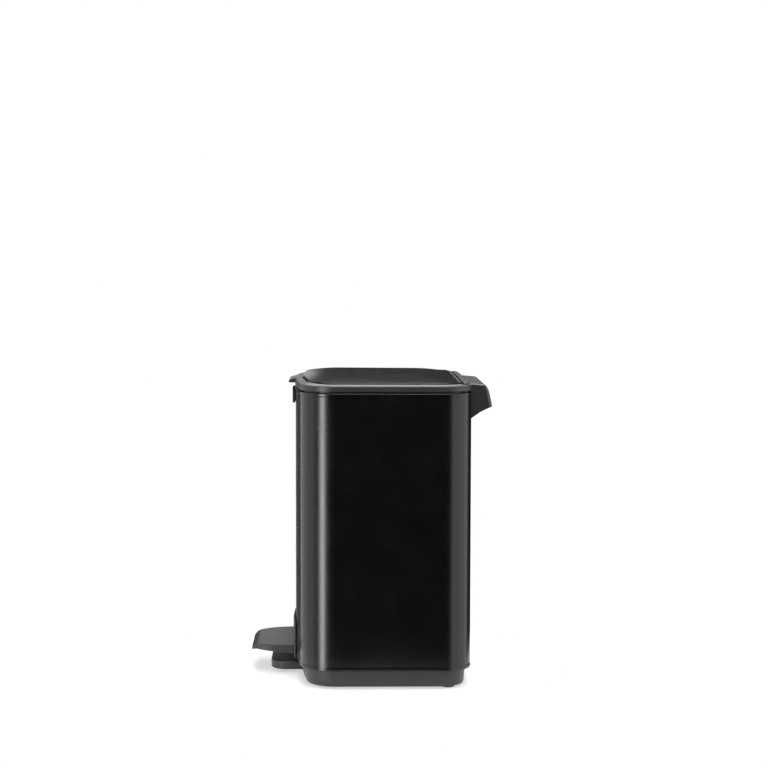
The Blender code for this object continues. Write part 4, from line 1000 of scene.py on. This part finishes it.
def turned_post_tree():
    """Round posts on the given points, standing up, with both rims rounded by Edge."""
    tree, source = geometry_tree("turned_post", Radius=0.009, Height=0.0035, Edge=0.0008)
    out = source.outputs
    post = add(tree, "GeometryNodeMeshLine", {"Count": 25},
               {"Offset": vector(tree, Z=out["Height"])}, mode="END_POINTS")
    axis = add(tree, "GeometryNodeMeshToCurve", links={"Mesh": post})
    height = coordinate(tree, "Z")
    near = math_node(tree, "MINIMUM", height, math_node(tree, "SUBTRACT", out["Height"], height))
    curl = rim_curl(tree, near, out["Edge"])
    scale = math_node(tree, "DIVIDE", math_node(tree, "SUBTRACT", out["Radius"], curl),
                      out["Radius"])
    circle = add(tree, "GeometryNodeCurvePrimitiveCircle", {"Resolution": 56},
                 {"Radius": out["Radius"]})
    skin = add(tree, "GeometryNodeCurveToMesh", {"Fill Caps": True},
               {"Curve": axis, "Profile Curve": circle, "Scale": scale})
    posts = add(tree, "GeometryNodeInstanceOnPoints",
                links={"Points": out["Geometry"], "Instance": skin})
    end_tree(tree, posts, RUBBER)
    return tree


def crossed_ribs_tree():
    """A grid of thin upright ribs: Across of them one way and Along the other, about the middle."""
    tree, source = geometry_tree("crossed_ribs", Width=0.16, Length=0.12, Depth=0.002, Wall=0.0012,
                                 Across=4, Along=5)
    out = source.outputs
    both = add(tree, "GeometryNodeJoinGeometry")
    for span, other, count, first, second in (("Width", "Length", "Across", "X", "Y"),
                                              ("Length", "Width", "Along", "Y", "X")):
        size = vector(tree, **{first: out[span], second: out["Wall"], "Z": out["Depth"]})
        rib = add(tree, "GeometryNodeMeshCube", {"Vertices X": 3, "Vertices Y": 3, "Vertices Z": 2},
                  {"Size": size})
        low, high = (vector(tree, **{second: math_node(tree, "MULTIPLY", out[other], share)})
                     for share in (-0.5, 0.5))
        row = add(tree, "GeometryNodeMeshLine", mode="END_POINTS",
                  links={"Count": out[count], "Start Location": low, "Offset": high})
        ribs = add(tree, "GeometryNodeInstanceOnPoints", links={"Points": row, "Instance": rib})
        tree.links.new(ribs.outputs[0], both.inputs[0])
    placed = add(tree, "GeometryNodeInstanceOnPoints",
                 links={"Points": out["Geometry"], "Instance": both})
    end_tree(tree, placed, ABS)
    return tree


def make_rubber_feet():
    """Four turned feet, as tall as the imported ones."""
    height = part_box("foot_rear_left")[1].z
    feet = grow(points_object("rubber_feet", [(x, y, 0) for x, y in FEET]), turned_post_tree(),
                Height=height)
    place(feet, RUBBER, "can", "foot_rear_left", "foot_rear_right", "foot_front_left",
          "foot_front_right", slot="rubber")


def make_lining_ribs():
    """Stiffening ribs on the lining's underside, seen with the lid open."""
    depth = 0.0026
    overlap = 0.0001
    centre = (0, (FRONT_Y + BUCKET_REAR) / 2 - 0.004, LID_UNDERSIDE - depth / 2 + overlap)
    ribs = grow(points_object("lining_ribs", [centre]), crossed_ribs_tree(), Width=0.20,
                Length=0.112, Depth=depth)
    place(ribs, ABS, "lid", slot="satin_plastic")


def dress(material, *nodes):
    """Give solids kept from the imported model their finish."""
    for name in nodes:
        item = bpy.data.objects[name]
        item.data.materials.clear()
        item.data.materials.append(material)


# ---- Setting ----

def make_floor():
    """A small round of white paper; beyond it the background is as white."""
    radius = 0.25
    sides = 144
    rim = arc((0, 0), radius, 0, 360 - 360 / sides, sides - 1)
    bm = bmesh.new()
    bm.faces.new([bm.verts.new((x, y, FLOOR_LEVEL)) for x, y in rim])
    mesh = bpy.data.meshes.new("paper")
    bm.to_mesh(mesh)
    bm.free()
    floor = new_object("paper", mesh)
    mesh.materials.append(paper_sweep())


def softbox(name, azimuth, elevation, width, height, radiance):
    """A rectangular softbox facing the object; azimuth runs from +X towards +Y, in degrees."""
    distance = 2.2
    aim = Vector((0, 0, 0.2))
    lamp = bpy.data.lights.new(name, "AREA")
    lamp.shape = "RECTANGLE"
    lamp.size = width
    lamp.size_y = height
    lamp.energy = radiance * math.pi * width * height
    item = bpy.data.objects.new(name, lamp)
    bpy.context.scene.collection.objects.link(item)
    a = math.radians(azimuth)
    e = math.radians(elevation)
    back = Vector((math.cos(a) * math.cos(e), math.sin(a) * math.cos(e), math.sin(e)))
    item.location = aim + back * distance
    item.rotation_mode = "QUATERNION"
    item.rotation_quaternion = back.to_track_quat("Z", "Y")
    item.visible_camera = False


def make_studio():
    """White background, almost dark to reflections, and the softboxes that draw the highlights."""
    reflected, seen = 0.02, 1.0
    world = bpy.data.worlds.new("studio")
    world.use_nodes = True
    tree = world.node_tree
    tree.nodes.clear()
    ray = add(tree, "ShaderNodeLightPath")
    dim, white = (add(tree, "ShaderNodeBackground", {"Color": linear("#ffffff"), "Strength": power})
                  for power in (reflected, seen))
    either = add(tree, "ShaderNodeMixShader",
                 links={0: ray.outputs["Is Camera Ray"], 1: dim, 2: white})
    add(tree, "ShaderNodeOutputWorld", links={"Surface": either})
    bpy.context.scene.world = world
    # Each wall is three boxes side by side, so that it stays flat to the object.
    for i, azimuth in enumerate((-134, -107, -80)):
        softbox("left_wall_%d" % i, azimuth, 8, 1.04, 3.4, 1.1)
    softbox("key_strip", -42, -6, 0.52, 1.3, 12.5)
    for i, azimuth in enumerate((48, 75, 102)):
        softbox("right_wall_%d" % i, azimuth, 8, 1.02, 3.4, 1.45)
    softbox("back_strip", -172, 0, 0.27, 1.6, 0.9)
    softbox("back_high", 180, 48, 1.5, 0.70, 7.5)
    softbox("overhead", 0, 88, 1.4, 1.4, 7.0)
    softbox("front_fill", 12, 48, 1.5, 0.9, 7.5)


def make_camera():
    """A long lens on the object's right side, a little above it, looking slightly down."""
    position = (2.2384, -0.0302, 0.5210)
    pitch = 0.0690437
    yaw = -0.0214388
    roll = 0.0020603
    data = bpy.data.cameras.new("camera")
    data.lens = 81.38
    data.sensor_width = 36
    camera = bpy.data.objects.new("camera", data)
    bpy.context.scene.collection.objects.link(camera)
    ahead = Vector((-math.cos(yaw) * math.cos(pitch), -math.sin(yaw) * math.cos(pitch),
                    -math.sin(pitch)))
    right = ahead.cross(Vector((0, 0, 1))).normalized()
    up = right.cross(ahead)
    across = right * math.cos(roll) + up * math.sin(roll)
    upright = up * math.cos(roll) - right * math.sin(roll)
    turn = Matrix((across, upright, -ahead)).transposed().to_4x4()
    camera.matrix_world = Matrix.Translation(position) @ turn
    bpy.context.scene.camera = camera
    bpy.context.scene.view_settings.view_transform = "Standard"


make_camera()
make_sleeve()
make_base_tray()
make_rubber_feet()
make_slot_surround()
make_front_plate()
make_collar()
make_grip()
make_liner_bucket()
make_lid_skin()
make_lid_lining()
make_lining_ribs()
make_pedal_tread()
dress(ZINC, "hinge_pin_left", "hinge_pin_right", "handle_screw_left", "handle_screw_right",
      "pedal_axle", "axle_clip_left", "axle_clip_right", "channel_screw_left",
      "channel_screw_right", "crank_pin", "pedal_lever", "lever_pin", "pad_screw_left",
      "pad_screw_right")
dress(POLYPROPYLENE, "push_rod", "rod_channel")
dress(RUBBER, "lid_buffer_left", "lid_buffer_right")
make_floor()
make_studio()
